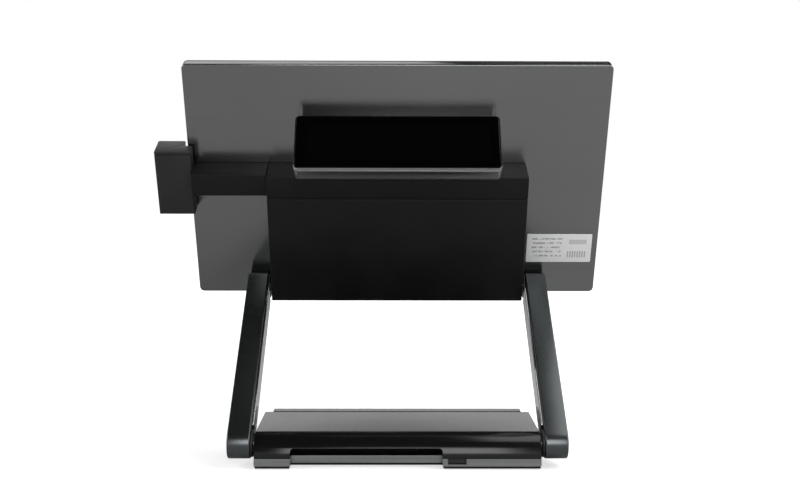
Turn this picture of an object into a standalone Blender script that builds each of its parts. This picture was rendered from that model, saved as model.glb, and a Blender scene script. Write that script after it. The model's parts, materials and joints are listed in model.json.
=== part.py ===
"""Countertop point-of-sale touchscreen terminal on a folding two-arm stand.

A wedge-shaped base carries two arms.  The arms carry a leaning touchscreen with a rear
housing, a card reader on a side bar and a small tilting customer display.
Units are metres.  +Z is up, the touchscreen faces -Y and the customer display faces +Y.
The origin is the centre of the base's underside on the counter.
"""

import math

import bmesh
import bpy
from mathutils import Matrix, Vector

# ---------------------------------------------------------------- clearances
GAP = 0.0003
RUNNING_GAP = 0.0003
CUT_OVERRUN = 0.002

# ---------------------------------------------------------------- base
BASE_WIDTH = 0.2364
BASE_DEPTH = 0.185
BASE_CORNER_RADIUS = 0.004
PAD_THICKNESS = 0.0016
PAD_SET_BACK = 0.0006
TRAY_TOP = 0.0081
TRAY_WALL = 0.0022
TRAY_FLOOR = 0.0014
COVER_TOP = 0.0272
COVER_WALL = 0.0018
COVER_DEPTH = 0.0925
COVER_BEND_RADIUS = 0.018
RIDGE_SIDE_STEP = 0.0072
RIDGE_RISE = 0.0003
RIDGE_DEPTH = 0.0150
RIDGE_ROUND = 0.003
FRONT_SLOPE_DEPTH = 0.019
FRONT_LEDGE_TOP = 0.0102
FRONT_WALL = 0.0016
OUTLET_LEFT_MARGIN = 0.0812
OUTLET_RIGHT_MARGIN = 0.0297
OUTLET_BELOW_TOP = 0.0106
OUTLET_SET_BACK = 0.012
OUTLET_CORNER_RADIUS = 0.003
LOCK_SLOT_WIDTH = 0.0153
LOCK_SLOT_HEIGHT = 0.0046
LOCK_SLOT_OFFSET = 0.0043
LOCK_INSERT_MARGIN = 0.001
LOCK_INSERT_DEPTH = 0.0067
WEIGHT_BLOCK_ROOM = 0.0032
WEIGHT_FRONT_MARGIN = 0.012
WEIGHT_REAR_MARGIN = 0.055
WEIGHT_CORNER_RADIUS = 0.004
HINGE_BLOCK_WIDTH = 0.0145
HINGE_BLOCK_DEPTH = 0.030
HINGE_BLOCK_HEAD = 0.0048
HINGE_BLOCK_FOOT = 0.0045

# ---------------------------------------------------------------- arms
ARM_LENGTH = 0.1919
ARM_RISE = math.radians(36.6)
ARM_WIDTH = 0.01905
ARM_BASE_ROOM = 0.00325
ARM_HOUSING_ROOM = 0.00405
ARM_END_RADIUS = 0.0125
ARM_EDGE_ROUND = 0.0011
ARM_WALL = 0.003
ARM_END_SOLID = 0.016
LOWER_AXIS_INSET = 0.0121
LOWER_AXIS_BELOW_TOP = 0.0088
SHAFT_RADIUS = 0.003
SHAFT_DEPTH_IN_ARM = 0.013
SHAFT_HOLE_ROOM = 0.0006
HINGE_DISC_RADIUS = 0.0114
HINGE_DISC_THICKNESS = 0.0015
WASHER_RADIUS = 0.0052
STRIP_WIDTH = 0.019
STRIP_THICKNESS = 0.0015
RIVET_RADIUS = 0.0045
RIVET_LENGTH = 0.0026
DISC_SPRING_RADIUS = 0.0047
DISC_SPRING_LENGTH = 0.0032

# ---------------------------------------------------------------- screen
SCREEN_WIDTH = 0.380
SCREEN_HEIGHT = 0.2299
SCREEN_LEAN = math.radians(23.8)
SCREEN_CORNER_RADIUS = 0.0045
SCREEN_AXIS_UP = 0.0146
SCREEN_AXIS_BACK = 0.0143
SHELL_DEPTH = 0.0088
SHELL_BACK = 0.0013
SHELL_WALL = 0.0018
SHELL_WINDOW_WIDTH = 0.150
SHELL_WINDOW_HEIGHT = 0.030
GLASS_THICKNESS = 0.0019
LCD_SIDE_BORDER = 0.014
LCD_END_BORDER = 0.01295
LCD_BACK_ROOM = 0.0012
HOUSING_DEPTH = 0.0323
HOUSING_BOTTOM = 0.0086
HOUSING_SEAM = 0.1145
HOUSING_TOP = 0.1360
HOUSING_WALL = 0.002
HOUSING_EDGE = 0.0006
BRACKET_THICKNESS = 0.004
BRACKET_HALF_HEIGHT = 0.0053
BRACKET_FOOT_THICKNESS = 0.0026
BRACKET_FOOT_HEIGHT = 0.046
BRACKET_BOARD_ROOM = 0.0051
BOARD_WIDTH = 0.148
BOARD_HEIGHT = 0.090
BOARD_THICKNESS = 0.0016
BOARD_STANDOFF = 0.006
BOARD_FLOOR_ROOM = 0.0036
STANDOFF_RADIUS = 0.0028
CARRIER_THICKNESS = 0.0012
IO_PLATE_THICKNESS = 0.001
IO_PLATE_OVERHANG = 0.021
IO_PLATE_DEPTH = 0.0208
PORT_RECESS = 0.0034
PORT_LIP = 0.0011
DRIVE_WIDTH = 0.070
DRIVE_HEIGHT = 0.052
DRIVE_THICKNESS = 0.007
HEAT_SINK_WIDTH = 0.058
HEAT_SINK_HEIGHT = 0.050
HEAT_SINK_DEPTH = 0.014
HEAT_SINK_BASE = 0.003
HEAT_SINK_FINS = 9
SPEAKER_WIDTH = 0.014
SPEAKER_HEIGHT = 0.038
SPEAKER_DEPTH = 0.018
LABEL_HOUSING_ROOM = 0.0056
LABEL_EDGE_ROOM = 0.0055
LABEL_HEIGHT = 0.0300
LABEL_THICKNESS = 0.0003
LABEL_BOTTOM = 0.0332
BUTTON_WIDTH = 0.012
BUTTON_DEPTH = 0.0034
BUTTON_SIDE_DISTANCE = 0.040
BUTTON_CENTRE_BACK = -0.0048
BUTTON_PROUD = 0.0010
BUTTON_TRAVEL = 0.0008
BUTTON_FLANGE = 0.0008
BUTTON_FLANGE_THICKNESS = 0.001
BUTTON_STEM = 0.0004
SWITCH_SIZE = 0.003

# ---------------------------------------------------------------- card reader
BAR_DEPTH = 0.0268
BAR_HEIGHT = 0.0208
BAR_WALL = 0.002
READER_INBOARD = 0.0048
READER_OUTBOARD = 0.0278
READER_BACK = 0.0170
READER_FRONT = -0.0090
READER_SLOT_WIDTH = 0.0036
READER_SLOT_BACK = 0.0022
READER_BOTTOM = 0.0918
READER_TOP = 0.1535
READER_CAP = 0.0028
READER_WALL = 0.002
READER_HEAD_WIDTH = 0.008
READER_HEAD_HEIGHT = 0.012
READER_HEAD_BACK = -0.0024
READER_HEAD_PROUD = 0.0005
READER_HEAD_DEPTH = 0.005

# ---------------------------------------------------------------- customer display
DISPLAY_LEAN = math.radians(33.0)
DISPLAY_WIDTH = 0.1800
DISPLAY_HEIGHT = 0.0550
DISPLAY_DEPTH = 0.0178
DISPLAY_CORNER_RADIUS = 0.0040
DISPLAY_AXIS_UP = 0.0110
DISPLAY_AXIS_BEHIND_HOUSING = 0.0073
DISPLAY_BELOW_AXIS = 0.0140
DISPLAY_BEHIND_FACE = 0.0240
DISPLAY_BEZEL_DEPTH = 0.0036
DISPLAY_BEZEL_WIDTH = 0.0009
DISPLAY_WALL = 0.0018
DISPLAY_GLASS_THICKNESS = 0.0015
DISPLAY_GLASS_SINK = 0.0004
DISPLAY_MODULE_THICKNESS = 0.006
DISPLAY_MODULE_ROOM = 0.004
DISPLAY_BOARD_ROOM = 0.0025
DISPLAY_PIN_RADIUS = 0.0020
DISPLAY_KNUCKLE_RADIUS = 0.0050
DISPLAY_KNUCKLE_WIDTH = 0.035
DISPLAY_LUG_WIDTH = 0.004
DISPLAY_FOOT_THICKNESS = 0.0025
DISPLAY_FOOT_DEPTH = 0.022
DISPLAY_FOOT_SET_BACK = 0.001

# ---------------------------------------------------------------- derived places
BASE_HALF_WIDTH = BASE_WIDTH / 2
BASE_REAR = BASE_DEPTH / 2
BASE_FRONT = -BASE_DEPTH / 2
ARM_INNER_X = BASE_HALF_WIDTH + ARM_BASE_ROOM
ARM_OUTER_X = ARM_INNER_X + ARM_WIDTH
HINGE_DISC_INNER_X = ARM_INNER_X - GAP - HINGE_DISC_THICKNESS
LOWER_AXIS_Y = BASE_REAR - LOWER_AXIS_INSET
LOWER_AXIS_HEIGHT = COVER_TOP - LOWER_AXIS_BELOW_TOP
HOUSING_HALF_WIDTH = ARM_INNER_X - ARM_HOUSING_ROOM
SCREEN_HALF_WIDTH = SCREEN_WIDTH / 2
READER_INNER_X = SCREEN_HALF_WIDTH - READER_INBOARD
READER_OUTER_X = SCREEN_HALF_WIDTH + READER_OUTBOARD
READER_SLOT_FAR_X = SCREEN_HALF_WIDTH + READER_SLOT_WIDTH
BUTTON_CENTRE_X = SCREEN_HALF_WIDTH - BUTTON_SIDE_DISTANCE
DISPLAY_AXIS_BACK = HOUSING_DEPTH + DISPLAY_AXIS_BEHIND_HOUSING
COVER_FRONT = BASE_REAR - COVER_DEPTH
COVER_BOTTOM = TRAY_TOP + GAP
TRAY_BOTTOM = PAD_THICKNESS + GAP
TRAY_INSIDE = TRAY_BOTTOM + TRAY_FLOOR + GAP
BOARD_BACK = BOARD_STANDOFF + BOARD_THICKNESS
RAIL_BOTTOM = HOUSING_SEAM + GAP / 2
REAR_COVER_TOP = HOUSING_SEAM - GAP / 2
LEFT_AND_RIGHT = (("left", 1), ("right", -1))

parts = None
cutters = None


# ---------------------------------------------------------------- scene helpers
def clear_scene():
    """Remove every object that the scene holds."""
    for item in list(bpy.data.objects):
        bpy.data.objects.remove(item, do_unlink=True)


def make_collection(name):
    """Return a new collection linked to the scene."""
    collection = bpy.data.collections.new(name)
    bpy.context.scene.collection.children.link(collection)
    return collection


def make_material(name, colour, roughness, metallic=0.0):
    """Return a Principled material of one colour."""
    material = bpy.data.materials.new(name)
    material.use_nodes = True
    shader = material.node_tree.nodes["Principled BSDF"]
    shader.inputs["Base Color"].default_value = (*colour, 1.0)
    shader.inputs["Roughness"].default_value = roughness
    shader.inputs["Metallic"].default_value = metallic
    material.diffuse_color = (*colour, 1.0)
    return material


def make_frame(name, origin, turn_about_x, parent=None):
    """Return an empty whose local axes carry an assembly."""
    frame = bpy.data.objects.new(name, None)
    frame.empty_display_size = 0.02
    frame.location = origin
    frame.rotation_euler = (turn_about_x, 0.0, 0.0)
    frame.parent = parent
    parts.objects.link(frame)
    return frame


def add_object(name, mesh, centre, frame, material):
    """Place a mesh in a frame as a finished part, or as a cutter without a material."""
    item = bpy.data.objects.new(name, mesh)
    item.location = centre
    item.parent = frame
    if material is None:
        item.hide_render = True
        item.display_type = "WIRE"
        cutters.objects.link(item)
    else:
        mesh.materials.append(material)
        parts.objects.link(item)
    return item


# ---------------------------------------------------------------- shape helpers
def box(name, low, high, frame, material=None):
    """A box between two corners."""
    low = Vector(low)
    high = Vector(high)
    mesh = bpy.data.meshes.new(name)
    shape = bmesh.new()
    size = Matrix.Diagonal((high - low).to_4d())
    bmesh.ops.create_cube(shape, size=1.0, matrix=size)
    shape.to_mesh(mesh)
    shape.free()
    return add_object(name, mesh, (low + high) / 2, frame, material)


def rod(name, radius, low_x, high_x, centre_y, centre_z, frame, material=None, sides=24):
    """A cylinder along X."""
    mesh = bpy.data.meshes.new(name)
    shape = bmesh.new()
    turn = Matrix.Rotation(math.pi / 2, 4, "Y")
    bmesh.ops.create_cone(shape, cap_ends=True, segments=sides, radius1=radius, radius2=radius,
                          depth=high_x - low_x, matrix=turn)
    shape.to_mesh(mesh)
    shape.free()
    mesh.shade_smooth()
    mesh.set_sharp_from_angle(angle=math.radians(35))
    return add_object(name, mesh, ((low_x + high_x) / 2, centre_y, centre_z), frame, material)


def post(name, radius, centre, low_y, high_y, frame, material=None, sides=12):
    """A cylinder along Y, centred on (x, z)."""
    mesh = bpy.data.meshes.new(name)
    shape = bmesh.new()
    bmesh.ops.create_cone(shape, cap_ends=True, segments=sides, radius1=radius, radius2=radius,
                          depth=high_y - low_y, matrix=Matrix.Rotation(math.pi / 2, 4, "X"))
    shape.to_mesh(mesh)
    shape.free()
    return add_object(name, mesh, (centre[0], (low_y + high_y) / 2, centre[1]), frame, material)


def arc(centre, radius, start, end, steps):
    """Points of an arc, from start to end in degrees."""
    points = []
    for step in range(steps + 1):
        angle = math.radians(start + (end - start) * step / steps)
        points.append((centre[0] + radius * math.cos(angle), centre[1] + radius * math.sin(angle)))
    return points


def rounded_rectangle(low, high, radius, steps=4):
    """Anticlockwise outline of a rectangle with round corners."""
    corners = ((high[0] - radius, high[1] - radius, 0), (low[0] + radius, high[1] - radius, 90),
               (low[0] + radius, low[1] + radius, 180), (high[0] - radius, low[1] + radius, 270))
    points = []
    for x, y, start in corners:
        points += arc((x, y), radius, start, start + 90, steps)
    return points


def prism(name, outlines, low, high, along, frame, material=None):
    """Flat outlines, the later ones holes in the first, extruded along X, Y or Z.

    The outline's two coordinates are (y, z) along X, (x, z) along Y and (x, y) along Z.
    """
    curve = bpy.data.curves.new(name, "CURVE")
    curve.dimensions = "2D"
    curve.fill_mode = "BOTH"
    curve.extrude = (high - low) / 2
    for outline in outlines:
        spline = curve.splines.new("POLY")
        spline.points.add(len(outline) - 1)
        for point, (across, up) in zip(spline.points, outline):
            point.co = (across, up, 0.0, 1.0)
        spline.use_cyclic_u = True
    sketch = bpy.data.objects.new(name + "_sketch", curve)
    bpy.context.scene.collection.objects.link(sketch)
    bpy.context.view_layer.update()
    evaluated = sketch.evaluated_get(bpy.context.evaluated_depsgraph_get())
    mesh = bpy.data.meshes.new_from_object(evaluated)
    bpy.data.objects.remove(sketch, do_unlink=True)
    bpy.data.curves.remove(curve)
    middle = (low + high) / 2
    turns = {"X": Matrix(((0, 0, 1), (1, 0, 0), (0, 1, 0))),
             "Y": Matrix(((1, 0, 0), (0, 0, -1), (0, 1, 0))),
             "Z": Matrix.Identity(3)}
    shifts = {"X": (middle, 0, 0), "Y": (0, middle, 0), "Z": (0, 0, middle)}
    shape = bmesh.new()
    shape.from_mesh(mesh)
    bmesh.ops.remove_doubles(shape, verts=shape.verts, dist=0.00001)
    bmesh.ops.transform(shape, matrix=turns[along].to_4x4(), verts=shape.verts)
    bmesh.ops.recalc_face_normals(shape, faces=shape.faces)
    shape.to_mesh(mesh)
    shape.free()
    mesh.name = name
    return add_object(name, mesh, shifts[along], frame, material)


def cut(item, *tools):
    """Take the cutters' volumes out of a part."""
    for tool in tools:
        modifier = item.modifiers.new("cut_" + tool.name, "BOOLEAN")
        modifier.operation = "DIFFERENCE"
        modifier.solver = "EXACT"
        modifier.object = tool


def join(item, *tools):
    """Add the cutters' volumes to a part."""
    for tool in tools:
        modifier = item.modifiers.new("join_" + tool.name, "BOOLEAN")
        modifier.operation = "UNION"
        modifier.solver = "EXACT"
        modifier.object = tool


def soften(item, width, segments=1):
    """Round the sharp edges of a part."""
    modifier = item.modifiers.new("edges", "BEVEL")
    modifier.width = width
    modifier.segments = segments
    modifier.limit_method = "ANGLE"
    modifier.angle_limit = math.radians(50)
    modifier.use_clamp_overlap = True


def ring(name, radius, bore, low_x, high_x, centre_y, centre_z, frame, material, sides=24):
    """A washer along X."""
    last = 360 - 360 / sides
    centre = (centre_y, centre_z)
    rings = [arc(centre, size, 0, last, sides - 1) for size in (radius, bore)]
    return prism(name, rings, low_x, high_x, "X", frame, material)


# ---------------------------------------------------------------- base
def outlet_span():
    """The cable outlet's two ends along X."""
    return -BASE_HALF_WIDTH + OUTLET_LEFT_MARGIN, BASE_HALF_WIDTH - OUTLET_RIGHT_MARGIN


def base_footprint(margin):
    """Footprint of the base, set back at the rear where the cables leave."""
    low_x, high_x = outlet_span()
    rear = BASE_REAR - margin
    set_back = rear - OUTLET_SET_BACK
    half = BASE_HALF_WIDTH - margin
    front = BASE_FRONT + margin
    radius = BASE_CORNER_RADIUS
    points = arc((half - radius, front + radius), radius, -90, 0, 3)
    points += [(half, rear), (high_x + margin, rear), (high_x + margin, set_back)]
    points += [(low_x - margin, set_back), (low_x - margin, rear), (-half, rear)]
    points += arc((-half + radius, front + radius), radius, 180, 270, 3)
    return points


def build_base(finish):
    """The pad, tray, weight, covers, hinge blocks and lock slot of the base."""
    low_x, high_x = outlet_span()
    prism("base_pad", [base_footprint(PAD_SET_BACK)], 0, PAD_THICKNESS, "Z", None, finish["rubber"])

    tray = prism("base_tray", [base_footprint(0)], TRAY_BOTTOM, TRAY_TOP, "Z", None, finish["strip_metal"])
    hollow = prism("tray_hollow", [base_footprint(TRAY_WALL)], TRAY_BOTTOM + TRAY_FLOOR,
                   TRAY_TOP + CUT_OVERRUN, "Z", None)
    slot_high_x = low_x - LOCK_SLOT_OFFSET
    slot_low_x = slot_high_x - LOCK_SLOT_WIDTH
    slot_low_z = TRAY_TOP - LOCK_SLOT_HEIGHT
    slot = box("lock_slot_cut", (slot_low_x, BASE_REAR - TRAY_WALL - CUT_OVERRUN, slot_low_z),
               (slot_high_x, BASE_REAR + CUT_OVERRUN, TRAY_TOP + CUT_OVERRUN), None)
    cut(tray, hollow, slot)

    insert_back = BASE_REAR - TRAY_WALL - GAP
    insert = box("lock_slot_insert",
                 (slot_low_x - LOCK_INSERT_MARGIN, insert_back - LOCK_INSERT_DEPTH, TRAY_INSIDE),
                 (slot_high_x + LOCK_INSERT_MARGIN, insert_back, TRAY_TOP - GAP), None,
                 finish["black_plastic"])
    soften(insert, 0.0003)

    weight_half = hinge_block_span()[0] - WEIGHT_BLOCK_ROOM
    weight_outline = rounded_rectangle((-weight_half, BASE_FRONT + WEIGHT_FRONT_MARGIN),
                                       (weight_half, BASE_REAR - WEIGHT_REAR_MARGIN),
                                       WEIGHT_CORNER_RADIUS, 2)
    weight = prism("base_weight_plate", [weight_outline], TRAY_INSIDE, TRAY_TOP - GAP, "Z", None,
                   finish["steel"])
    soften(weight, 0.0003)

    build_base_covers(finish, low_x, high_x)
    for side, sign in LEFT_AND_RIGHT:
        build_hinge_block(finish, side, sign)


def build_base_covers(finish, low_x, high_x):
    """The bent rear cover and the stepped front cover of the base."""
    bend = arc((BASE_REAR - COVER_BEND_RADIUS, COVER_TOP - COVER_BEND_RADIUS), COVER_BEND_RADIUS, 0, 90, 12)
    outer = [(COVER_FRONT, COVER_BOTTOM), (BASE_REAR, COVER_BOTTOM)] + bend + [(COVER_FRONT, COVER_TOP)]
    cover = prism("base_cover", [outer], -BASE_HALF_WIDTH, BASE_HALF_WIDTH, "X", None, finish["base_black"])
    inner_radius = COVER_BEND_RADIUS - COVER_WALL
    inner_bend = arc((BASE_REAR - COVER_BEND_RADIUS, COVER_TOP - COVER_BEND_RADIUS), inner_radius, 0, 90, 12)
    inner = [(COVER_FRONT - CUT_OVERRUN, COVER_BOTTOM - CUT_OVERRUN),
             (BASE_REAR - COVER_WALL, COVER_BOTTOM - CUT_OVERRUN)]
    inner += inner_bend + [(COVER_FRONT - CUT_OVERRUN, COVER_TOP - COVER_WALL)]
    hollow_half = BASE_HALF_WIDTH - COVER_WALL
    hollow = prism("cover_hollow", [inner], -hollow_half, hollow_half, "X", None)
    outlet_outline = rounded_rectangle((low_x, COVER_BOTTOM - 2 * OUTLET_CORNER_RADIUS),
                                       (high_x, COVER_TOP - OUTLET_BELOW_TOP), OUTLET_CORNER_RADIUS, 3)
    outlet = prism("cable_outlet_cut", [outlet_outline], BASE_REAR - COVER_BEND_RADIUS,
                   BASE_REAR + CUT_OVERRUN, "Y", None)
    shaft_hole = rod("cover_shaft_hole", SHAFT_RADIUS + SHAFT_HOLE_ROOM, -BASE_HALF_WIDTH - CUT_OVERRUN,
                     BASE_HALF_WIDTH + CUT_OVERRUN, LOWER_AXIS_Y, LOWER_AXIS_HEIGHT, None)
    cut(cover, hollow, outlet, shaft_hole)

    build_front_cover(finish)


def build_front_cover(finish):
    """The flat front ledge with the raised ridge that meets the rear cover."""
    ridge_back = COVER_FRONT - GAP
    ridge_front = ridge_back - RIDGE_DEPTH
    ridge_top = COVER_TOP + RIDGE_RISE
    slope_foot = ridge_front - FRONT_SLOPE_DEPTH
    radius = BASE_CORNER_RADIUS
    half = BASE_HALF_WIDTH
    footprint = arc((half - radius, BASE_FRONT + radius), radius, -90, 0, 3)
    footprint += [(half, ridge_back), (-half, ridge_back)]
    footprint += arc((-half + radius, BASE_FRONT + radius), radius, 180, 270, 3)
    front = prism("base_front_cover", [footprint], COVER_BOTTOM, FRONT_LEDGE_TOP, "Z", None,
                  finish["base_black"])

    small = RIDGE_ROUND / 3
    raised = [(ridge_back, COVER_BOTTOM + GAP), (ridge_back, ridge_top - small)]
    raised.append((ridge_back - small, ridge_top))
    raised += [(ridge_front + RIDGE_ROUND, ridge_top), (ridge_front, ridge_top - small)]
    raised += [(slope_foot, FRONT_LEDGE_TOP - GAP), (slope_foot, COVER_BOTTOM + GAP)]
    ridge_half = BASE_HALF_WIDTH - RIDGE_SIDE_STEP
    join(front, prism("front_ridge", [raised], -ridge_half, ridge_half, "X", None))

    slope = math.atan2(ridge_top - FRONT_LEDGE_TOP, FRONT_SLOPE_DEPTH)
    wall_along = FRONT_WALL / math.sin(slope)
    inner_top = ridge_top - FRONT_WALL - small
    inner_rise = inner_top - COVER_BOTTOM + CUT_OVERRUN
    inner = [(ridge_back + CUT_OVERRUN, COVER_BOTTOM - CUT_OVERRUN), (ridge_back + CUT_OVERRUN, inner_top)]
    inner.append((ridge_front + wall_along, inner_top))
    inner.append((ridge_front + wall_along - inner_rise / math.tan(slope), COVER_BOTTOM - CUT_OVERRUN))
    hollow_half = ridge_half - FRONT_WALL
    cut(front, prism("front_hollow", [inner], -hollow_half, hollow_half, "X", None))


def hinge_block_span():
    """Inner and outer distance of a base hinge block from the middle plane."""
    outer = BASE_HALF_WIDTH - max(COVER_WALL, TRAY_WALL) - GAP
    return outer - HINGE_BLOCK_WIDTH, outer


def build_hinge_block(finish, side, sign):
    """A steel bearing block that stands on the tray floor and holds a lower hinge shaft."""
    low_x, high_x = sorted(sign * x for x in hinge_block_span())
    floor = TRAY_INSIDE
    back = LOWER_AXIS_Y + HINGE_BLOCK_HEAD
    front = back - HINGE_BLOCK_DEPTH
    head_centre = (LOWER_AXIS_Y, LOWER_AXIS_HEIGHT)
    outline = [(front, floor), (back, floor)]
    outline += arc(head_centre, HINGE_BLOCK_HEAD, 0, 180, 8)
    foot_top = floor + HINGE_BLOCK_FOOT
    outline += [(LOWER_AXIS_Y - HINGE_BLOCK_HEAD, foot_top), (front, foot_top)]
    block = prism("base_hinge_block_" + side, [outline], low_x, high_x, "X", None, finish["steel"])
    bore = rod("block_bore_" + side, SHAFT_RADIUS + RUNNING_GAP, low_x - CUT_OVERRUN, high_x + CUT_OVERRUN,
               LOWER_AXIS_Y, LOWER_AXIS_HEIGHT, None)
    cut(block, bore)


# ---------------------------------------------------------------- arms
def stadium(low, high, half_width, steps=9):
    """Outline of a bar with round ends, in (across, along) coordinates."""
    points = arc((0, high), half_width, 0, 180, steps)
    return points + arc((0, low), half_width, 180, 360, steps)


def build_arm(finish, side, sign, arms):
    """One arm: its hollow shell and the polished strip that closes it on the inner side."""
    low_x, high_x = sorted((sign * ARM_INNER_X, sign * ARM_OUTER_X))
    shell = prism("arm_shell_" + side, [stadium(0, ARM_LENGTH, ARM_END_RADIUS)], low_x, high_x, "X", arms,
                  finish["arm_paint"])
    soften(shell, ARM_EDGE_ROUND, 2)
    pocket_half = STRIP_WIDTH / 2 - ARM_WALL / 2
    near, far = sorted((sign * (ARM_INNER_X - CUT_OVERRUN), sign * (ARM_OUTER_X - ARM_WALL)))
    pocket = box("arm_pocket_" + side, (near, -pocket_half, ARM_END_SOLID),
                 (far, pocket_half, ARM_LENGTH - ARM_END_SOLID), arms)
    bore_near, bore_far = sorted((sign * (ARM_INNER_X - CUT_OVERRUN),
                                  sign * (ARM_INNER_X + SHAFT_DEPTH_IN_ARM + GAP)))
    tools = [pocket]
    for height in (0, ARM_LENGTH):
        tools.append(rod("arm_bore_" + side, SHAFT_RADIUS + GAP, bore_near, bore_far, 0, height, arms))
    cut(shell, *tools)

    strip_out = ARM_INNER_X - GAP
    near, far = sorted((sign * strip_out, sign * (strip_out - STRIP_THICKNESS)))
    strip_end = HINGE_DISC_RADIUS + 2 * GAP
    strip = box("arm_inner_cover_" + side, (near, -STRIP_WIDTH / 2, strip_end),
                (far, STRIP_WIDTH / 2, ARM_LENGTH - strip_end), arms, finish["polished"])
    soften(strip, 0.0003)


def build_hinge_hardware(finish, name, side, sign, arms, height, side_wall_x, inner_face_x):
    """Friction disc, washer, disc springs and riveted shaft of one arm end."""
    bore = SHAFT_RADIUS + GAP
    low_x, high_x = sorted((sign * HINGE_DISC_INNER_X, sign * (ARM_INNER_X - GAP)))
    ring(name + "_friction_disc_" + side, HINGE_DISC_RADIUS, bore, low_x, high_x, 0, height, arms,
         finish["black_plastic"], 32)
    low_x, high_x = sorted((sign * (side_wall_x + GAP), sign * (HINGE_DISC_INNER_X - GAP)))
    ring(name + "_washer_" + side, WASHER_RADIUS, bore, low_x, high_x, 0, height, arms, finish["polished"])
    spring_x = inner_face_x - GAP
    head_x = spring_x - DISC_SPRING_LENGTH - GAP
    low_x, high_x = sorted((sign * spring_x, sign * (spring_x - DISC_SPRING_LENGTH)))
    ring(name + "_disc_springs_" + side, DISC_SPRING_RADIUS, bore, low_x, high_x, 0, height, arms,
         finish["steel"], 20)
    low_x, high_x = sorted((sign * (head_x - RIVET_LENGTH / 2), sign * (ARM_INNER_X + SHAFT_DEPTH_IN_ARM)))
    shaft = rod(name + "_hinge_shaft_" + side, SHAFT_RADIUS, low_x, high_x, 0, height, arms,
                finish["steel"], 20)
    low_x, high_x = sorted((sign * head_x, sign * (head_x - RIVET_LENGTH)))
    join(shaft, rod(name + "_rivet_" + side, RIVET_RADIUS, low_x, high_x, 0, height, arms, None, 20))


# ---------------------------------------------------------------- screen
def build_screen(finish, head):
    """The glass, display module and rear shell of the touchscreen."""
    half = SCREEN_HALF_WIDTH
    face = -SHELL_DEPTH - GAP
    outline = rounded_rectangle((-half, 0), (half, SCREEN_HEIGHT), SCREEN_CORNER_RADIUS, 4)
    glass = prism("touch_glass", [outline], face - GLASS_THICKNESS, face, "Y", head, finish["black_glass"])
    soften(glass, 0.0003)

    shell = prism("screen_rear_shell", [outline], -SHELL_DEPTH, 0, "Y", head, finish["brushed_metal"])
    soften(shell, 0.0005)
    cavity = prism("shell_cavity", [rounded_rectangle((-half + SHELL_WALL, SHELL_WALL),
                   (half - SHELL_WALL, SCREEN_HEIGHT - SHELL_WALL), SCREEN_CORNER_RADIUS - SHELL_WALL, 3)],
                   -SHELL_DEPTH - CUT_OVERRUN, -SHELL_BACK, "Y", head)
    window_low = BRACKET_FOOT_HEIGHT + SCREEN_AXIS_UP + 0.006
    window = box("shell_window", (-SHELL_WINDOW_WIDTH / 2, -SHELL_BACK - CUT_OVERRUN, window_low),
                 (SHELL_WINDOW_WIDTH / 2, CUT_OVERRUN, window_low + SHELL_WINDOW_HEIGHT), head)
    button_slot = box("button_slot", (BUTTON_CENTRE_X - BUTTON_WIDTH / 2 - GAP,
                      BUTTON_CENTRE_BACK - BUTTON_DEPTH / 2 - GAP, -CUT_OVERRUN),
                      (BUTTON_CENTRE_X + BUTTON_WIDTH / 2 + GAP, BUTTON_CENTRE_BACK + BUTTON_DEPTH / 2 + GAP,
                       SHELL_WALL + CUT_OVERRUN), head)
    cut(shell, cavity, window, button_slot)

    lcd = box("lcd_module", (-half + LCD_SIDE_BORDER, face + 2 * GAP, LCD_END_BORDER),
              (half - LCD_SIDE_BORDER, -SHELL_BACK - LCD_BACK_ROOM, SCREEN_HEIGHT - LCD_END_BORDER), head,
              finish["lcd"])
    soften(lcd, 0.0004)
    build_power_button(finish, head)

    label_outline = rounded_rectangle((-half + LABEL_EDGE_ROOM, LABEL_BOTTOM),
                                      (-HOUSING_HALF_WIDTH - LABEL_HOUSING_ROOM,
                                       LABEL_BOTTOM + LABEL_HEIGHT), 0.001, 2)
    prism("rating_label", [label_outline], GAP, GAP + LABEL_THICKNESS, "Y", head, finish["label"])


def build_power_button(finish, head):
    """The sprung power button in the lower edge and the switch that it presses."""
    low_y = BUTTON_CENTRE_BACK - BUTTON_DEPTH / 2
    high_y = BUTTON_CENTRE_BACK + BUTTON_DEPTH / 2
    low_x = BUTTON_CENTRE_X - BUTTON_WIDTH / 2
    high_x = BUTTON_CENTRE_X + BUTTON_WIDTH / 2
    flange_low = SHELL_WALL + GAP
    flange_high = flange_low + BUTTON_FLANGE_THICKNESS
    stem_top = flange_high + BUTTON_STEM
    button = box("power_button", (low_x, low_y, -BUTTON_PROUD), (high_x, high_y, stem_top), head,
                 finish["black_plastic"])
    flange = box("button_flange", (low_x - BUTTON_FLANGE, low_y - BUTTON_FLANGE, flange_low),
                 (high_x + BUTTON_FLANGE, high_y + BUTTON_FLANGE, flange_high), head)
    join(button, flange)
    switch_low = stem_top + BUTTON_TRAVEL + GAP
    box("power_switch", (BUTTON_CENTRE_X - SWITCH_SIZE, low_y, switch_low),
        (BUTTON_CENTRE_X + SWITCH_SIZE, high_y, switch_low + SWITCH_SIZE), head, finish["black_plastic"])


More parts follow.
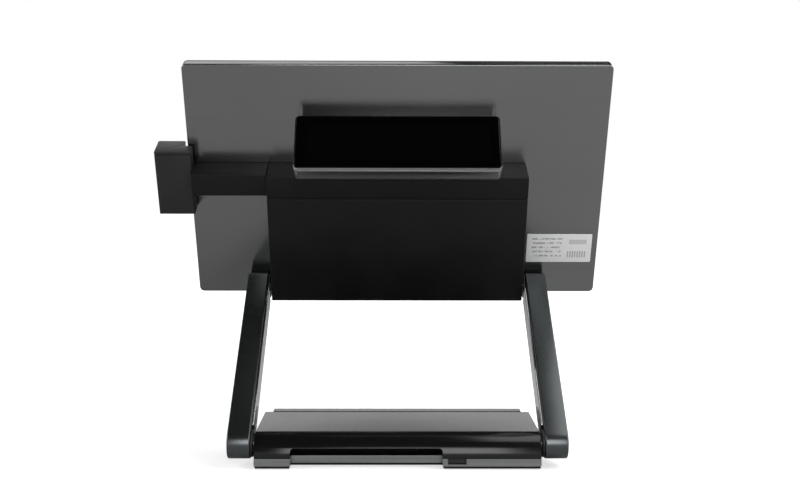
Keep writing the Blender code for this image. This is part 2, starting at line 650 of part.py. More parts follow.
def build_housing(finish, head):
    """The fixed upper rail and the pull-off lower cover of the rear housing."""
    half = HOUSING_HALF_WIDTH
    rail = box("housing_rail", (-half, GAP, RAIL_BOTTOM), (half, HOUSING_DEPTH, HOUSING_TOP), head,
               finish["black_satin"])
    soften(rail, HOUSING_EDGE)
    hollow = box("rail_hollow", (-half + HOUSING_WALL, -CUT_OVERRUN, RAIL_BOTTOM - CUT_OVERRUN),
                 (half - HOUSING_WALL, HOUSING_DEPTH - HOUSING_WALL, HOUSING_TOP - HOUSING_WALL), head)
    cut(rail, hollow)

    cover = box("rear_cover", (-half, GAP, HOUSING_BOTTOM), (half, HOUSING_DEPTH, REAR_COVER_TOP), head,
                finish["black_satin"])
    soften(cover, HOUSING_EDGE)
    hollow = box("cover_cavity", (-half + HOUSING_WALL, -CUT_OVERRUN, HOUSING_BOTTOM + HOUSING_WALL),
                 (half - HOUSING_WALL, HOUSING_DEPTH - HOUSING_WALL, REAR_COVER_TOP + CUT_OVERRUN), head)
    shaft_room = SHAFT_RADIUS + SHAFT_HOLE_ROOM
    side_notch = box("cover_side_notch", (-half - CUT_OVERRUN, -CUT_OVERRUN, HOUSING_BOTTOM - CUT_OVERRUN),
                     (half + CUT_OVERRUN, SCREEN_AXIS_BACK + shaft_room, SCREEN_AXIS_UP + shaft_room), head)
    floor_notch = box("cover_floor_notch", (-half + HOUSING_WALL, -CUT_OVERRUN, HOUSING_BOTTOM - CUT_OVERRUN),
                      (half - HOUSING_WALL, IO_PLATE_DEPTH + 0.0014,
                       HOUSING_BOTTOM + HOUSING_WALL + CUT_OVERRUN), head)
    cut(cover, hollow, side_notch, floor_notch)


def build_screen_brackets(finish, head):
    """Steel brackets behind the shell that take the upper hinge shafts."""
    outer_x = HOUSING_HALF_WIDTH - HOUSING_WALL - GAP
    inner_x = outer_x - BRACKET_THICKNESS
    foot_top = SCREEN_AXIS_UP + BRACKET_FOOT_HEIGHT
    for side, sign in LEFT_AND_RIGHT:
        ear_low, ear_high = sorted((sign * outer_x, sign * inner_x))
        low = SCREEN_AXIS_UP - BRACKET_HALF_HEIGHT
        back = SCREEN_AXIS_BACK + BRACKET_HALF_HEIGHT
        outline = [(GAP, low), (SCREEN_AXIS_BACK, low)]
        outline += arc((SCREEN_AXIS_BACK, SCREEN_AXIS_UP), BRACKET_HALF_HEIGHT, -60, 20, 6)
        outline += [(back, SCREEN_AXIS_UP + 0.012), (GAP + BRACKET_FOOT_THICKNESS, foot_top), (GAP, foot_top)]
        ear = prism("screen_hinge_bracket_" + side, [outline], ear_low, ear_high, "X", head, finish["steel"])
        foot_inner_x = BOARD_WIDTH / 2 + BRACKET_BOARD_ROOM
        foot_low, foot_high = sorted((sign * (inner_x + 0.001), sign * foot_inner_x))
        foot_floor = SCREEN_AXIS_UP + DISC_SPRING_RADIUS + 0.002
        foot = box("bracket_foot_" + side, (foot_low, GAP, foot_floor),
                   (foot_high, GAP + BRACKET_FOOT_THICKNESS, foot_top), head)
        bore = rod("bracket_bore_" + side, SHAFT_RADIUS + RUNNING_GAP, ear_low - CUT_OVERRUN,
                   ear_high + CUT_OVERRUN, SCREEN_AXIS_BACK, SCREEN_AXIS_UP, head)
        join(ear, foot)
        cut(ear, bore)
    return inner_x


def build_electronics(finish, head):
    """The main board and what it carries inside the rear housing."""
    board_low = HOUSING_BOTTOM + BOARD_FLOOR_ROOM
    half = BOARD_WIDTH / 2
    board = box("main_board", (-half, BOARD_STANDOFF, board_low),
                (half, BOARD_BACK, board_low + BOARD_HEIGHT), head, finish["circuit_green"])
    soften(board, 0.0003)
    carrier = box("board_carrier", (-half, GAP, board_low),
                  (half, GAP + CARRIER_THICKNESS, board_low + BOARD_HEIGHT), head, finish["steel"])
    window_low = SCREEN_AXIS_UP + BRACKET_FOOT_HEIGHT + 0.004
    cut(carrier, box("carrier_window", (-SHELL_WINDOW_WIDTH / 2 + 0.02, -CUT_OVERRUN, window_low),
                     (SHELL_WINDOW_WIDTH / 2 - 0.02, BOARD_STANDOFF, window_low + SHELL_WINDOW_HEIGHT), head))
    for x in (-half + 0.006, half - 0.006):
        for z in (board_low + 0.008, board_low + BOARD_HEIGHT - 0.006):
            join(carrier, post("standoff", STANDOFF_RADIUS, (x, z), GAP + CARRIER_THICKNESS / 2,
                               BOARD_STANDOFF - GAP, head))

    sink_back = BOARD_BACK + GAP
    sink_left = half - 0.012
    fin_pitch = HEAT_SINK_WIDTH / (2 * HEAT_SINK_FINS - 1)
    comb = [(sink_left - HEAT_SINK_WIDTH, sink_back)]
    for fin in range(HEAT_SINK_FINS):
        start = sink_left - HEAT_SINK_WIDTH + 2 * fin * fin_pitch
        comb += [(start, sink_back + HEAT_SINK_DEPTH), (start + fin_pitch, sink_back + HEAT_SINK_DEPTH)]
        if fin < HEAT_SINK_FINS - 1:
            comb += [(start + step * fin_pitch, sink_back + HEAT_SINK_BASE) for step in (1, 2)]
    comb.append((sink_left, sink_back))
    sink_low = board_low + BOARD_HEIGHT - HEAT_SINK_HEIGHT - 0.010
    prism("heat_sink", [comb[::-1]], sink_low, sink_low + HEAT_SINK_HEIGHT, "Z", head, finish["aluminium"])

    drive_low_x = -half + 0.004
    drive = box("storage_drive", (drive_low_x, sink_back, sink_low),
                (drive_low_x + DRIVE_WIDTH, sink_back + DRIVE_THICKNESS, sink_low + DRIVE_HEIGHT), head,
                finish["dark_metal"])
    soften(drive, 0.0006)

    speaker_low = SCREEN_AXIS_UP + BRACKET_FOOT_HEIGHT + 0.004
    speaker_far = HOUSING_HALF_WIDTH - HOUSING_WALL - 0.001
    speaker = box("speaker", (speaker_far - SPEAKER_WIDTH, GAP, speaker_low),
                  (speaker_far, SPEAKER_DEPTH, speaker_low + SPEAKER_HEIGHT), head, finish["black_plastic"])
    soften(speaker, 0.0006)
    build_ports(finish, head, board_low)


def build_ports(finish, head, board_low):
    """The connectors along the board's lower edge and the steel plate around them."""
    plate_low = HOUSING_BOTTOM + GAP
    plate_half = BOARD_WIDTH / 2 + IO_PLATE_OVERHANG
    plate = box("io_plate", (-plate_half, 2 * GAP, plate_low),
                (plate_half, IO_PLATE_DEPTH, plate_low + IO_PLATE_THICKNESS), head, finish["steel"])
    first_back = BOARD_BACK + GAP
    port_high = board_low + 0.016
    ports = (("dc_inlet", -0.070, 0.0140, 0.0110, 1, "black_plastic"),
             ("serial_ports", -0.0335, 0.0137, 0.0118, 3, "black_plastic"),
             ("lan_port", 0.0050, 0.0160, 0.0120, 1, "steel"),
             ("usb_ports", 0.0450, 0.0145, 0.0072, 4, "steel"))
    for name, centre_x, width, depth, count, material in ports:
        start = centre_x - width * count / 2
        low = (start, first_back, plate_low)
        high = (start + width * count, first_back + depth, port_high)
        block = box(name, low, high, head, finish[material])
        hole_low = (low[0] - GAP, low[1] - GAP, plate_low - CUT_OVERRUN)
        hole_high = (high[0] + GAP, high[1] + GAP, plate_low + IO_PLATE_THICKNESS + CUT_OVERRUN)
        cut(plate, box(name + "_plate_hole", hole_low, hole_high, head))
        for place in range(count):
            left = start + place * width
            cut(block, box(name + "_recess", (left + PORT_LIP, low[1] + PORT_LIP, plate_low - CUT_OVERRUN),
                           (left + width - PORT_LIP, high[1] - PORT_LIP, plate_low + PORT_RECESS), head))


# ---------------------------------------------------------------- card reader
def reader_outline(wall):
    """The reader's plan in (x, back) coordinates: a block behind the screen edge and a wall beside it."""
    slot_x = READER_SLOT_FAR_X + wall
    return [(READER_INNER_X + wall, READER_BACK - wall), (READER_INNER_X + wall, READER_SLOT_BACK + wall),
            (slot_x, READER_SLOT_BACK + wall), (slot_x, READER_FRONT + wall),
            (READER_OUTER_X - wall, READER_FRONT + wall), (READER_OUTER_X - wall, READER_BACK - wall)]


def build_reader(finish, head):
    """The side bar and the magnetic stripe reader that it carries."""
    bar_low_x = HOUSING_HALF_WIDTH + GAP
    bar_high_x = READER_INNER_X - GAP
    bar_low = HOUSING_TOP - BAR_HEIGHT
    bar = box("reader_arm", (bar_low_x, GAP, bar_low), (bar_high_x, BAR_DEPTH, HOUSING_TOP), head,
              finish["black_satin"])
    soften(bar, 0.0005)
    cut(bar, box("bar_hollow", (bar_low_x + BAR_WALL, -CUT_OVERRUN, bar_low + BAR_WALL),
                 (bar_high_x - BAR_WALL, BAR_DEPTH - BAR_WALL, HOUSING_TOP - BAR_WALL), head))

    body_top = READER_TOP - READER_CAP - GAP
    body = prism("reader_body", [reader_outline(0)], READER_BOTTOM, body_top, "Z", head,
                 finish["reader_grey"])
    soften(body, 0.0005)
    hollow = prism("reader_hollow", [reader_outline(READER_WALL)], READER_BOTTOM + READER_WALL,
                   body_top + CUT_OVERRUN, "Z", head)
    head_low = (READER_BOTTOM + READER_TOP - READER_HEAD_HEIGHT) / 2
    slot_x = READER_SLOT_FAR_X
    sensor_front = READER_HEAD_BACK - READER_HEAD_WIDTH / 2
    sensor_back = READER_HEAD_BACK + READER_HEAD_WIDTH / 2
    window = box("reader_window", (slot_x - CUT_OVERRUN, sensor_front - GAP, head_low - GAP),
                 (slot_x + READER_WALL + CUT_OVERRUN, sensor_back + GAP,
                  head_low + READER_HEAD_HEIGHT + GAP), head)
    cut(body, hollow, window)

    cap = prism("reader_cap", [reader_outline(0)], READER_TOP - READER_CAP, READER_TOP, "Z", head,
                finish["reader_grey"])
    soften(cap, 0.0005)
    sensor = box("reader_head", (slot_x - READER_HEAD_PROUD, sensor_front, head_low),
                 (slot_x + READER_WALL + READER_HEAD_DEPTH, sensor_back, head_low + READER_HEAD_HEIGHT),
                 head, finish["steel"])
    soften(sensor, 0.0005)


# ---------------------------------------------------------------- customer display
def build_display_bracket(finish, head, axis_back, axis_up):
    """The forked bracket on the rail's top and the pin through its lugs."""
    foot_low = HOUSING_TOP + GAP
    foot_high = foot_low + DISPLAY_FOOT_THICKNESS
    lug_inner = DISPLAY_KNUCKLE_WIDTH / 2 + GAP
    lug_outer = lug_inner + DISPLAY_LUG_WIDTH
    back = HOUSING_DEPTH - DISPLAY_FOOT_SET_BACK
    front = back - DISPLAY_FOOT_DEPTH
    bracket = box("display_bracket", (-lug_outer, front, foot_low), (lug_outer, back, foot_high), head,
                  finish["black_satin"])
    reach = math.atan2(axis_up - foot_high, axis_back - front)
    lift = math.degrees(reach)
    lug = [(front + 0.001, foot_low + 0.0005), (back - 0.001, foot_low + 0.0005)]
    lug += arc((axis_back, axis_up), DISPLAY_KNUCKLE_RADIUS, lift - 90, lift + 90, 8)
    lug.append((front + 0.001, foot_high))
    for side, sign in LEFT_AND_RIGHT:
        ends = sorted((sign * lug_inner, sign * lug_outer))
        join(bracket, prism("bracket_lug_" + side, [lug], ends[0], ends[1], "X", head))
    bore = rod("bracket_pin_bore", DISPLAY_PIN_RADIUS + RUNNING_GAP, -lug_outer - CUT_OVERRUN,
               lug_outer + CUT_OVERRUN, axis_back, axis_up, head)
    cut(bracket, bore)
    pin = rod("display_hinge_pin", DISPLAY_PIN_RADIUS, -lug_outer + 0.0004, lug_outer - 0.0004, axis_back,
              axis_up, head, finish["steel"], 16)
    soften(pin, 0.0003)


def build_display(finish, tilt):
    """The customer display: case, polished bezel, glass, display module, board and knuckle.

    In its frame Y points out of the glass and Z up along it, and the hinge axis is X.
    """
    half = DISPLAY_WIDTH / 2
    low = -DISPLAY_BELOW_AXIS
    high = low + DISPLAY_HEIGHT
    face = DISPLAY_BEHIND_FACE
    back = face - DISPLAY_DEPTH
    bezel_back = face - DISPLAY_BEZEL_DEPTH
    radius = DISPLAY_CORNER_RADIUS
    outline = rounded_rectangle((-half, low), (half, high), radius, 4)
    case = prism("display_case", [outline], back, bezel_back - GAP, "Y", tilt, finish["dark_metal"])
    soften(case, 0.0006)
    case_hollow = prism("case_hollow", [rounded_rectangle((-half + DISPLAY_WALL, low + DISPLAY_WALL),
                        (half - DISPLAY_WALL, high - DISPLAY_WALL), radius - DISPLAY_WALL / 2, 3)],
                        back + DISPLAY_WALL, face, "Y", tilt)
    cut(case, case_hollow)

    edge = DISPLAY_BEZEL_WIDTH
    hole = rounded_rectangle((-half + edge, low + edge), (half - edge, high - edge), radius - edge / 2, 4)
    bezel = prism("display_bezel", [outline, hole], bezel_back, face, "Y", tilt, finish["polished"])
    soften(bezel, 0.0004)
    pane = edge + GAP
    glass_face = face - DISPLAY_GLASS_SINK
    glass_back = glass_face - DISPLAY_GLASS_THICKNESS
    glass = prism("display_glass", [rounded_rectangle((-half + pane, low + pane), (half - pane, high - pane),
                  radius - pane / 2, 4)], glass_back, glass_face, "Y", tilt, finish["black_glass"])
    soften(glass, 0.0003)
    margin = DISPLAY_WALL + DISPLAY_MODULE_ROOM
    module_back = glass_back - GAP
    box("display_module", (-half + margin, module_back - DISPLAY_MODULE_THICKNESS, low + margin),
        (half - margin, module_back, high - margin), tilt, finish["lcd"])
    board_back = back + DISPLAY_WALL + DISPLAY_BOARD_ROOM
    box("display_board", (-half + margin, board_back, low + margin),
        (half - margin, board_back + 0.0014, high - margin), tilt, finish["circuit_green"])

    knuckle_half = DISPLAY_KNUCKLE_WIDTH / 2
    web = [(back - GAP, -DISPLAY_KNUCKLE_RADIUS - 0.004), (back - GAP, DISPLAY_KNUCKLE_RADIUS + 0.006)]
    web += arc((0, 0), DISPLAY_KNUCKLE_RADIUS, 90, 270, 8)
    knuckle = prism("display_knuckle", [web[::-1]], -knuckle_half, knuckle_half, "X", tilt,
                    finish["dark_metal"])
    bore = rod("knuckle_bore", DISPLAY_PIN_RADIUS + RUNNING_GAP, -knuckle_half - CUT_OVERRUN,
               knuckle_half + CUT_OVERRUN, 0, 0, tilt)
    cut(knuckle, bore)


# ---------------------------------------------------------------- assembly
def make_finishes():
    """Every finish of the terminal by name."""
    return {
        "rubber": make_material("rubber", (0.012, 0.012, 0.012), 0.85),
        "strip_metal": make_material("strip_metal", (0.36, 0.37, 0.37), 0.35, 1.0),
        "base_black": make_material("base_black", (0.030, 0.030, 0.031), 0.32, 0.4),
        "black_plastic": make_material("black_plastic", (0.010, 0.010, 0.010), 0.45),
        "black_satin": make_material("black_satin", (0.013, 0.014, 0.014), 0.40),
        "black_glass": make_material("black_glass", (0.004, 0.004, 0.005), 0.05),
        "arm_paint": make_material("arm_paint", (0.105, 0.120, 0.124), 0.42, 0.3),
        "polished": make_material("polished", (0.55, 0.56, 0.57), 0.10, 1.0),
        "brushed_metal": make_material("brushed_metal", (0.135, 0.138, 0.138), 0.38, 0.9),
        "reader_grey": make_material("reader_grey", (0.035, 0.035, 0.035), 0.45),
        "dark_metal": make_material("dark_metal", (0.10, 0.10, 0.10), 0.35, 0.8),
        "lcd": make_material("lcd", (0.02, 0.02, 0.02), 0.4),
        "label": make_material("label", (0.66, 0.67, 0.66), 0.6),
        "steel": make_material("steel", (0.45, 0.45, 0.45), 0.35, 1.0),
        "aluminium": make_material("aluminium", (0.60, 0.60, 0.60), 0.4, 1.0),
        "circuit_green": make_material("circuit_green", (0.02, 0.10, 0.04), 0.5),
    }


def main():
    """Build the terminal from its base upwards."""
    global parts, cutters
    clear_scene()
    parts = make_collection("pos_touchscreen_terminal")
    cutters = make_collection("cutters")
    finish = make_finishes()
    build_base(finish)

    arms = make_frame("arms_frame", (0, LOWER_AXIS_Y, LOWER_AXIS_HEIGHT), math.pi / 2 - ARM_RISE)

    upper_y = LOWER_AXIS_Y - ARM_LENGTH * math.cos(ARM_RISE)
    upper_z = LOWER_AXIS_HEIGHT + ARM_LENGTH * math.sin(ARM_RISE)
    head_y = upper_y - SCREEN_AXIS_BACK * math.cos(SCREEN_LEAN) - SCREEN_AXIS_UP * math.sin(SCREEN_LEAN)
    head_z = upper_z + SCREEN_AXIS_BACK * math.sin(SCREEN_LEAN) - SCREEN_AXIS_UP * math.cos(SCREEN_LEAN)
    head = make_frame("head_frame", (0, head_y, head_z), -SCREEN_LEAN)
    build_screen(finish, head)
    build_housing(finish, head)
    bracket_inner_x = build_screen_brackets(finish, head)
    build_electronics(finish, head)
    block_inner_x = hinge_block_span()[0]
    for side, sign in LEFT_AND_RIGHT:
        build_arm(finish, side, sign, arms)
        build_hinge_hardware(finish, "lower", side, sign, arms, 0, BASE_HALF_WIDTH, block_inner_x)
        build_hinge_hardware(finish, "upper", side, sign, arms, ARM_LENGTH, HOUSING_HALF_WIDTH,
                             bracket_inner_x)
    build_reader(finish, head)

    axis_up = HOUSING_TOP + DISPLAY_AXIS_UP
    build_display_bracket(finish, head, DISPLAY_AXIS_BACK, axis_up)
    tilt = make_frame("display_frame", (0, DISPLAY_AXIS_BACK, axis_up), DISPLAY_LEAN + SCREEN_LEAN, head)
    build_display(finish, tilt)


main()
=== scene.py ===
"""Looks of a countertop sales terminal, built around its packed working model.

Each sub-assembly is a class that measures its place on the model, builds smooth surfaces
with numpy and dresses them.  Lengths are metres, +Z is up, the touchscreen faces -Y and
the customer display faces +Y.
"""

from __future__ import annotations

import json
import logging
import math
from dataclasses import dataclass, field
from enum import Enum
from typing import Any, Optional, Sequence, Union

import bpy
import numpy as np
from mathutils import Matrix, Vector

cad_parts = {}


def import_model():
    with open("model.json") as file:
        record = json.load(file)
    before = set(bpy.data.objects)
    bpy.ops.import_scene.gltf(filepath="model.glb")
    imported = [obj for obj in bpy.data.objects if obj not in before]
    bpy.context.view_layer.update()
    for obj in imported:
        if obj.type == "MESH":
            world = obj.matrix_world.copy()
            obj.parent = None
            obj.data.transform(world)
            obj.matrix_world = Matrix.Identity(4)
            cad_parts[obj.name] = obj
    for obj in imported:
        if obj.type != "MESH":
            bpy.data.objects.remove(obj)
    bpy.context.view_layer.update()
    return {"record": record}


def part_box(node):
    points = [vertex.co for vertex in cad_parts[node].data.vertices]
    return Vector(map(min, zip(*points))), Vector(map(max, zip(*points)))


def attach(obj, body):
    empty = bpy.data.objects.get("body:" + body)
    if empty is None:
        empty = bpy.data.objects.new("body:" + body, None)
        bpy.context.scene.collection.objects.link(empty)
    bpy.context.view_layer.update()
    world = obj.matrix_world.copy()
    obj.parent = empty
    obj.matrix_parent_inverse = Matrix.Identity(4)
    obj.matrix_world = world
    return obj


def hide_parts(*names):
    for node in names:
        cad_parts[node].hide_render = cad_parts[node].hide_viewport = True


LOG = logging.getLogger("terminal")
X = np.array((1.0, 0.0, 0.0))
Y = np.array((0.0, 1.0, 0.0))
Z = np.array((0.0, 0.0, 1.0))
Colour = tuple[float, float, float]
# How far a cutter reaches past what it cuts.
OVERCUT = 0.002
# A colour Mix node's two colour inputs and its colour output.
MIX_FIRST, MIX_SECOND, MIX_RESULT = 6, 7, 2


# ---------------------------------------------------------------- places and surfaces
@dataclass(frozen=True)
class Placement:
    """A local frame whose across, up and out directions are right-handed."""

    origin: np.ndarray
    up: np.ndarray
    out: np.ndarray

    @property
    def axes(self) -> np.ndarray:
        """The across, up and out directions as rows."""
        return np.stack([np.cross(self.up, self.out), self.up, self.out])

    @property
    def turn(self) -> float:
        """Angle about X that brings the model's Z on to the up direction, for patterns."""
        return math.atan2(self.up[1], self.up[2])

    def world(self, local: np.ndarray) -> np.ndarray:
        """Local points in the model's frame."""
        return self.origin + local @ self.axes

    def at(self, origin: np.ndarray) -> "Placement":
        """The same directions from another origin."""
        return Placement(origin, self.up, self.out)

    def facing(self, out: np.ndarray, up: np.ndarray) -> "Placement":
        """Other directions from the same origin."""
        return Placement(self.origin, up, out)

    def extent(self, node: str) -> tuple[np.ndarray, np.ndarray]:
        """Lowest and highest local corner of a node of the working model.

        Args:
            node: the node's name.

        Returns:
            Two arrays in (across, up, out) order.
        """
        local = (node_points(node) - self.origin) @ self.axes.T
        return local.min(axis=0), local.max(axis=0)


def node_points(node: str) -> np.ndarray:
    """The corner points of a node of the working model.

    Args:
        node: the node's name.

    Returns:
        Array of (x, y, z) points.
    """
    mesh = bpy.data.objects[node].data
    flat = np.empty(len(mesh.vertices) * 3, dtype=np.float32)
    mesh.vertices.foreach_get("co", flat)
    return flat.reshape(-1, 3).astype(float)


@dataclass(frozen=True)
class Surface:
    """Points in a local frame and the faces between them."""

    points: np.ndarray
    faces: list[tuple[int, ...]]


def rounded(low: Sequence[float], high: Sequence[float], radius: float, steps: int = 8) -> np.ndarray:
    """Anticlockwise rectangle with round corners.

    Each corner's points are its arc centre plus radius times (cos a, sin a), where a runs
    over a quarter turn.

    Args:
        low: lowest (across, up).
        high: highest (across, up).
        radius: corner radius.
        steps: steps in each corner.

    Returns:
        Array of (across, up) points.
    """
    angle = np.linspace(0, math.pi / 2, steps + 1)
    centres = np.array([(high[0] - radius, high[1] - radius), (low[0] + radius, high[1] - radius),
                        (low[0] + radius, low[1] + radius), (high[0] - radius, low[1] + radius)])
    quarter = angle[None, :] + np.arange(4)[:, None] * math.pi / 2
    points = centres[:, None, :] + radius * np.stack([np.cos(quarter), np.sin(quarter)], axis=-1)
    return points.reshape(-1, 2)


def circle(radius: float, steps: int = 64) -> np.ndarray:
    """Anticlockwise circle: radius times (cos a, sin a)."""
    angle = np.arange(steps) * 2 * math.pi / steps
    return radius * np.stack([np.cos(angle), np.sin(angle)], axis=-1)


def stadium(length: float, radius: float, steps: int = 32) -> np.ndarray:
    """Anticlockwise bar with round ends, centred across: half circles about 0 and length.

    Args:
        length: distance between the half circles' centres.
        radius: their radius.
        steps: steps in each half circle.

    Returns:
        Array of (across, up) points.
    """
    angle = np.linspace(0, math.pi, steps + 1)
    end = radius * np.stack([np.cos(angle), np.sin(angle)], axis=-1)
    return np.concatenate([end + (0, length), -end])


def softened(corners: Sequence[tuple[float, float]], radius: float, steps: int = 4) -> np.ndarray:
    """Anticlockwise polygon whose corners are rounded by quadratic curves.

    At a corner c the curve is (1-t)^2 a + 2t(1-t) c + t^2 b, where a and b lie radius
    along the two edges.

    Args:
        corners: the polygon's corners.
        radius: distance along each edge at which the rounding starts.
        steps: steps in each corner.

    Returns:
        Array of points.
    """
    corner = np.asarray(corners, dtype=float)
    back = np.roll(corner, 1, axis=0) - corner
    ahead = np.roll(corner, -1, axis=0) - corner
    start = corner + back / np.linalg.norm(back, axis=1, keepdims=True) * radius
    end = corner + ahead / np.linalg.norm(ahead, axis=1, keepdims=True) * radius
    t = np.linspace(0, 1, steps + 1)[None, :, None]
    curve = (1 - t) ** 2 * start[:, None] + 2 * t * (1 - t) * corner[:, None] + t ** 2 * end[:, None]
    return curve.reshape(-1, 2)


def inward(outline: np.ndarray) -> np.ndarray:
    """Direction that moves each point of an outline in by one unit of offset.

    It is the sum of the two neighbouring edges' left normals over one plus their product.

    Args:
        outline: anticlockwise path of (across, up) points.

    Returns:
        Array of (across, up) directions.
    """
    edge = np.roll(outline, -1, axis=0) - outline
    length = np.linalg.norm(edge, axis=1, keepdims=True)
    normal = np.stack([-edge[:, 1], edge[:, 0]], axis=-1) / length
    before = np.roll(normal, 1, axis=0)
    return (normal + before) / (1 + np.sum(normal * before, axis=1, keepdims=True))


def carried(outline: np.ndarray, insets: np.ndarray, heights: np.ndarray, closed: bool = False) -> Surface:
    """A profile carried along an outline.

    The point at profile step k and outline step i is outline_i + inset_k times the inward
    direction, at height_k.

    Args:
        outline: anticlockwise path of (across, up) points.
        insets: how far each profile point lies inside the outline.
        heights: how far out each profile point lies.
        closed: joins the profile's ends, otherwise flat caps close them.

    Returns:
        The surface, with faces pointing outwards.
    """
    rows, columns = len(insets), len(outline)
    flat = outline[None] + insets[:, None, None] * inward(outline)[None]
    out = np.broadcast_to(heights[:, None, None], (rows, columns, 1))
    points = np.concatenate([flat, out], axis=-1).reshape(-1, 3)
    row = np.arange(rows if closed else rows - 1)[:, None] * columns
    above = (row + columns) % (rows * columns)
    column = np.arange(columns)[None, :]
    beside = (column + 1) % columns
    quads = np.stack([row + column, row + beside, above + beside, above + column], axis=-1)
    faces = [tuple(quad) for quad in quads.reshape(-1, 4).tolist()]
    if not closed:
        faces.append(tuple(range(columns - 1, -1, -1)))
        faces.append(tuple(range((rows - 1) * columns, rows * columns)))
    return Surface(points, faces)


def slab(outline: np.ndarray, low: float, high: float, fillet: float, steps: int = 4) -> Surface:
    """A plate with quarter-round edges: inset f(1 - sin a) at height f(1 - cos a).

    Args:
        outline: anticlockwise path of (across, up) points.
        low: its lowest height.
        high: its highest height.
        fillet: radius of its edges.
        steps: steps in each edge.

    Returns:
        The closed surface.
    """
    angle = np.linspace(0, math.pi / 2, steps + 1)
    inset = fillet * (1 - np.sin(angle))
    rise = fillet * (1 - np.cos(angle))
    return carried(outline, np.concatenate([inset, inset[::-1]]),
                   np.concatenate([low + rise, high - rise[::-1]]))


def hoop(outline: np.ndarray, width: float, low: float, high: float, fillet: float) -> Surface:
    """A closed rounded band inside an outline: a rounded rectangle carried round it."""
    loop = rounded((0, low), (width, high), fillet, 3)[::-1]
    return carried(outline, loop[:, 0], loop[:, 1], closed=True)


def turned(profile: Sequence[tuple[float, float]], closed: bool = False, steps: int = 64) -> Surface:
    """A turned piece: each (radius, height) of the profile swept round the out direction.

    Args:
        profile: (radius, height) pairs.
        closed: joins the profile's ends.
        steps: steps round the axis.

    Returns:
        The surface.
    """
    points = np.asarray(profile, dtype=float)
    widest = points[:, 0].max()
    return carried(circle(widest, steps), widest - points[:, 0], points[:, 1], closed)


def washer(radius: float, bore: float, low: float, high: float, fillet: float) -> Surface:
    """A rounded ring: a rounded rectangle swept round the out direction."""
    return hoop(circle(radius), radius - bore, low, high, fillet)


def piece(name: str, surface: Surface, place: Placement, material: Optional[bpy.types.Material],
          body: Optional[str] = None, replaces: Sequence[str] = (),
          sharp: float = 32.0) -> bpy.types.Object:
    """Turn a surface into an object at the origin, attach it to its body and hide the nodes that it stands
    for.

    Args:
        name: the piece's name.
        surface: its points and faces.
        place: where its local frame lies.
        material: its finish, or None for a cutter.
        body: the body that it rides on.
        replaces: nodes of the working model that it stands for.
        sharp: angle in degrees above which an edge stays crisp.

    Returns:
        The new object.
    """
    mesh = bpy.data.meshes.new(name)
    mesh.from_pydata(place.world(surface.points).tolist(), [], surface.faces)
    mesh.validate()
    smooth(mesh, sharp)
    item = bpy.data.objects.new(name, mesh)
    bpy.context.scene.collection.objects.link(item)
    if material is not None:
        mesh.materials.append(material)
    if body is not None:
        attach(item, body)
    if replaces:
        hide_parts(*replaces)
    if material is not None:
        LOG.info("made %s", name)
    return item


def smooth(mesh: bpy.types.Mesh, sharp: float) -> None:
    """Shade a mesh smooth, with crisp edges above an angle in degrees."""
    mesh.shade_smooth()
    mesh.set_sharp_from_angle(angle=math.radians(sharp))


def carve(item: bpy.types.Object, cutters: Sequence[bpy.types.Object], sharp: float = 32.0) -> None:
    """Take the cutters out of a piece for good, and remove them.

    Args:
        item: the piece.
        cutters: closed meshes.
        sharp: angle in degrees above which an edge stays crisp.
    """
    for cutter in cutters:
        modifier = item.modifiers.new("cut", "BOOLEAN")
        modifier.operation = "DIFFERENCE"
        modifier.solver = "EXACT"
        modifier.object = cutter
    bpy.context.view_layer.update()
    graph = bpy.context.evaluated_depsgraph_get()
    result = bpy.data.meshes.new_from_object(item.evaluated_get(graph))
    item.modifiers.clear()
    old = item.data
    item.data = result
    bpy.data.meshes.remove(old)
    result.name = item.name
    smooth(result, sharp)
    for cutter in cutters:
        bpy.data.objects.remove(cutter, do_unlink=True)


# ---------------------------------------------------------------- shading
class Signal:
    """A number socket that takes part in Python expressions."""

    def __init__(self, graph: "Graph", socket: bpy.types.NodeSocket) -> None:
        """Wrap a socket of a graph's nodes."""
        self.graph = graph
        self.socket = socket

    def combined(self, operation: str, first: Any, second: Any = None) -> "Signal":
        """A Math node over two values or signals.

        Args:
            operation: the Math node's operation.
            first: its first value or signal.
            second: its second, where it has one.

        Returns:
            The result.
        """
        values = {0: first} if second is None else {0: first, 1: second}
        node = self.graph.node("ShaderNodeMath", {"operation": operation}, values)
        return Signal(self.graph, node.outputs[0])

    def __add__(self, other: Any) -> "Signal":
        """Sum."""
        return self.combined("ADD", self, other)

    __radd__ = __add__

    def __mul__(self, other: Any) -> "Signal":
        """Product."""
        return self.combined("MULTIPLY", self, other)

    __rmul__ = __mul__

    def __sub__(self, other: Any) -> "Signal":
        """Difference."""
        return self.combined("SUBTRACT", self, other)

    def __rsub__(self, other: Any) -> "Signal":
        """Difference from a number."""
        return self.combined("SUBTRACT", other, self)

    def __gt__(self, other: Any) -> "Signal":
        """One where the signal is greater."""
        return self.combined("GREATER_THAN", self, other)

    def __lt__(self, other: Any) -> "Signal":
        """One where the signal is less."""
        return self.combined("LESS_THAN", self, other)

    def most(self, other: Any) -> "Signal":
        """The greater of two."""
        return self.combined("MAXIMUM", self, other)

    def within(self, low: float, high: float) -> "Signal":
        """One between two numbers."""
        return (self > low) * (self < high)

    def bars(self, pitch: float, share: float) -> "Signal":
        """One on a share of every pitch."""
        return self.combined("FRACT", self * (1 / pitch)) < share

    def ramp(self, low: float, high: float, start: float = 0.0, end: float = 1.0) -> "Signal":
        """Start below low, end above high and smooth between.

        Args:
            low: value at which it starts.
            high: value at which it ends.
            start: result below low.
            end: result above high.

        Returns:
            The result.
        """
        node = self.graph.node("ShaderNodeMapRange", {"interpolation_type": "SMOOTHSTEP"},
                               {"Value": self, "From Min": low, "From Max": high, "To Min": start,
                                "To Max": end})
        return Signal(self.graph, node.outputs["Result"])


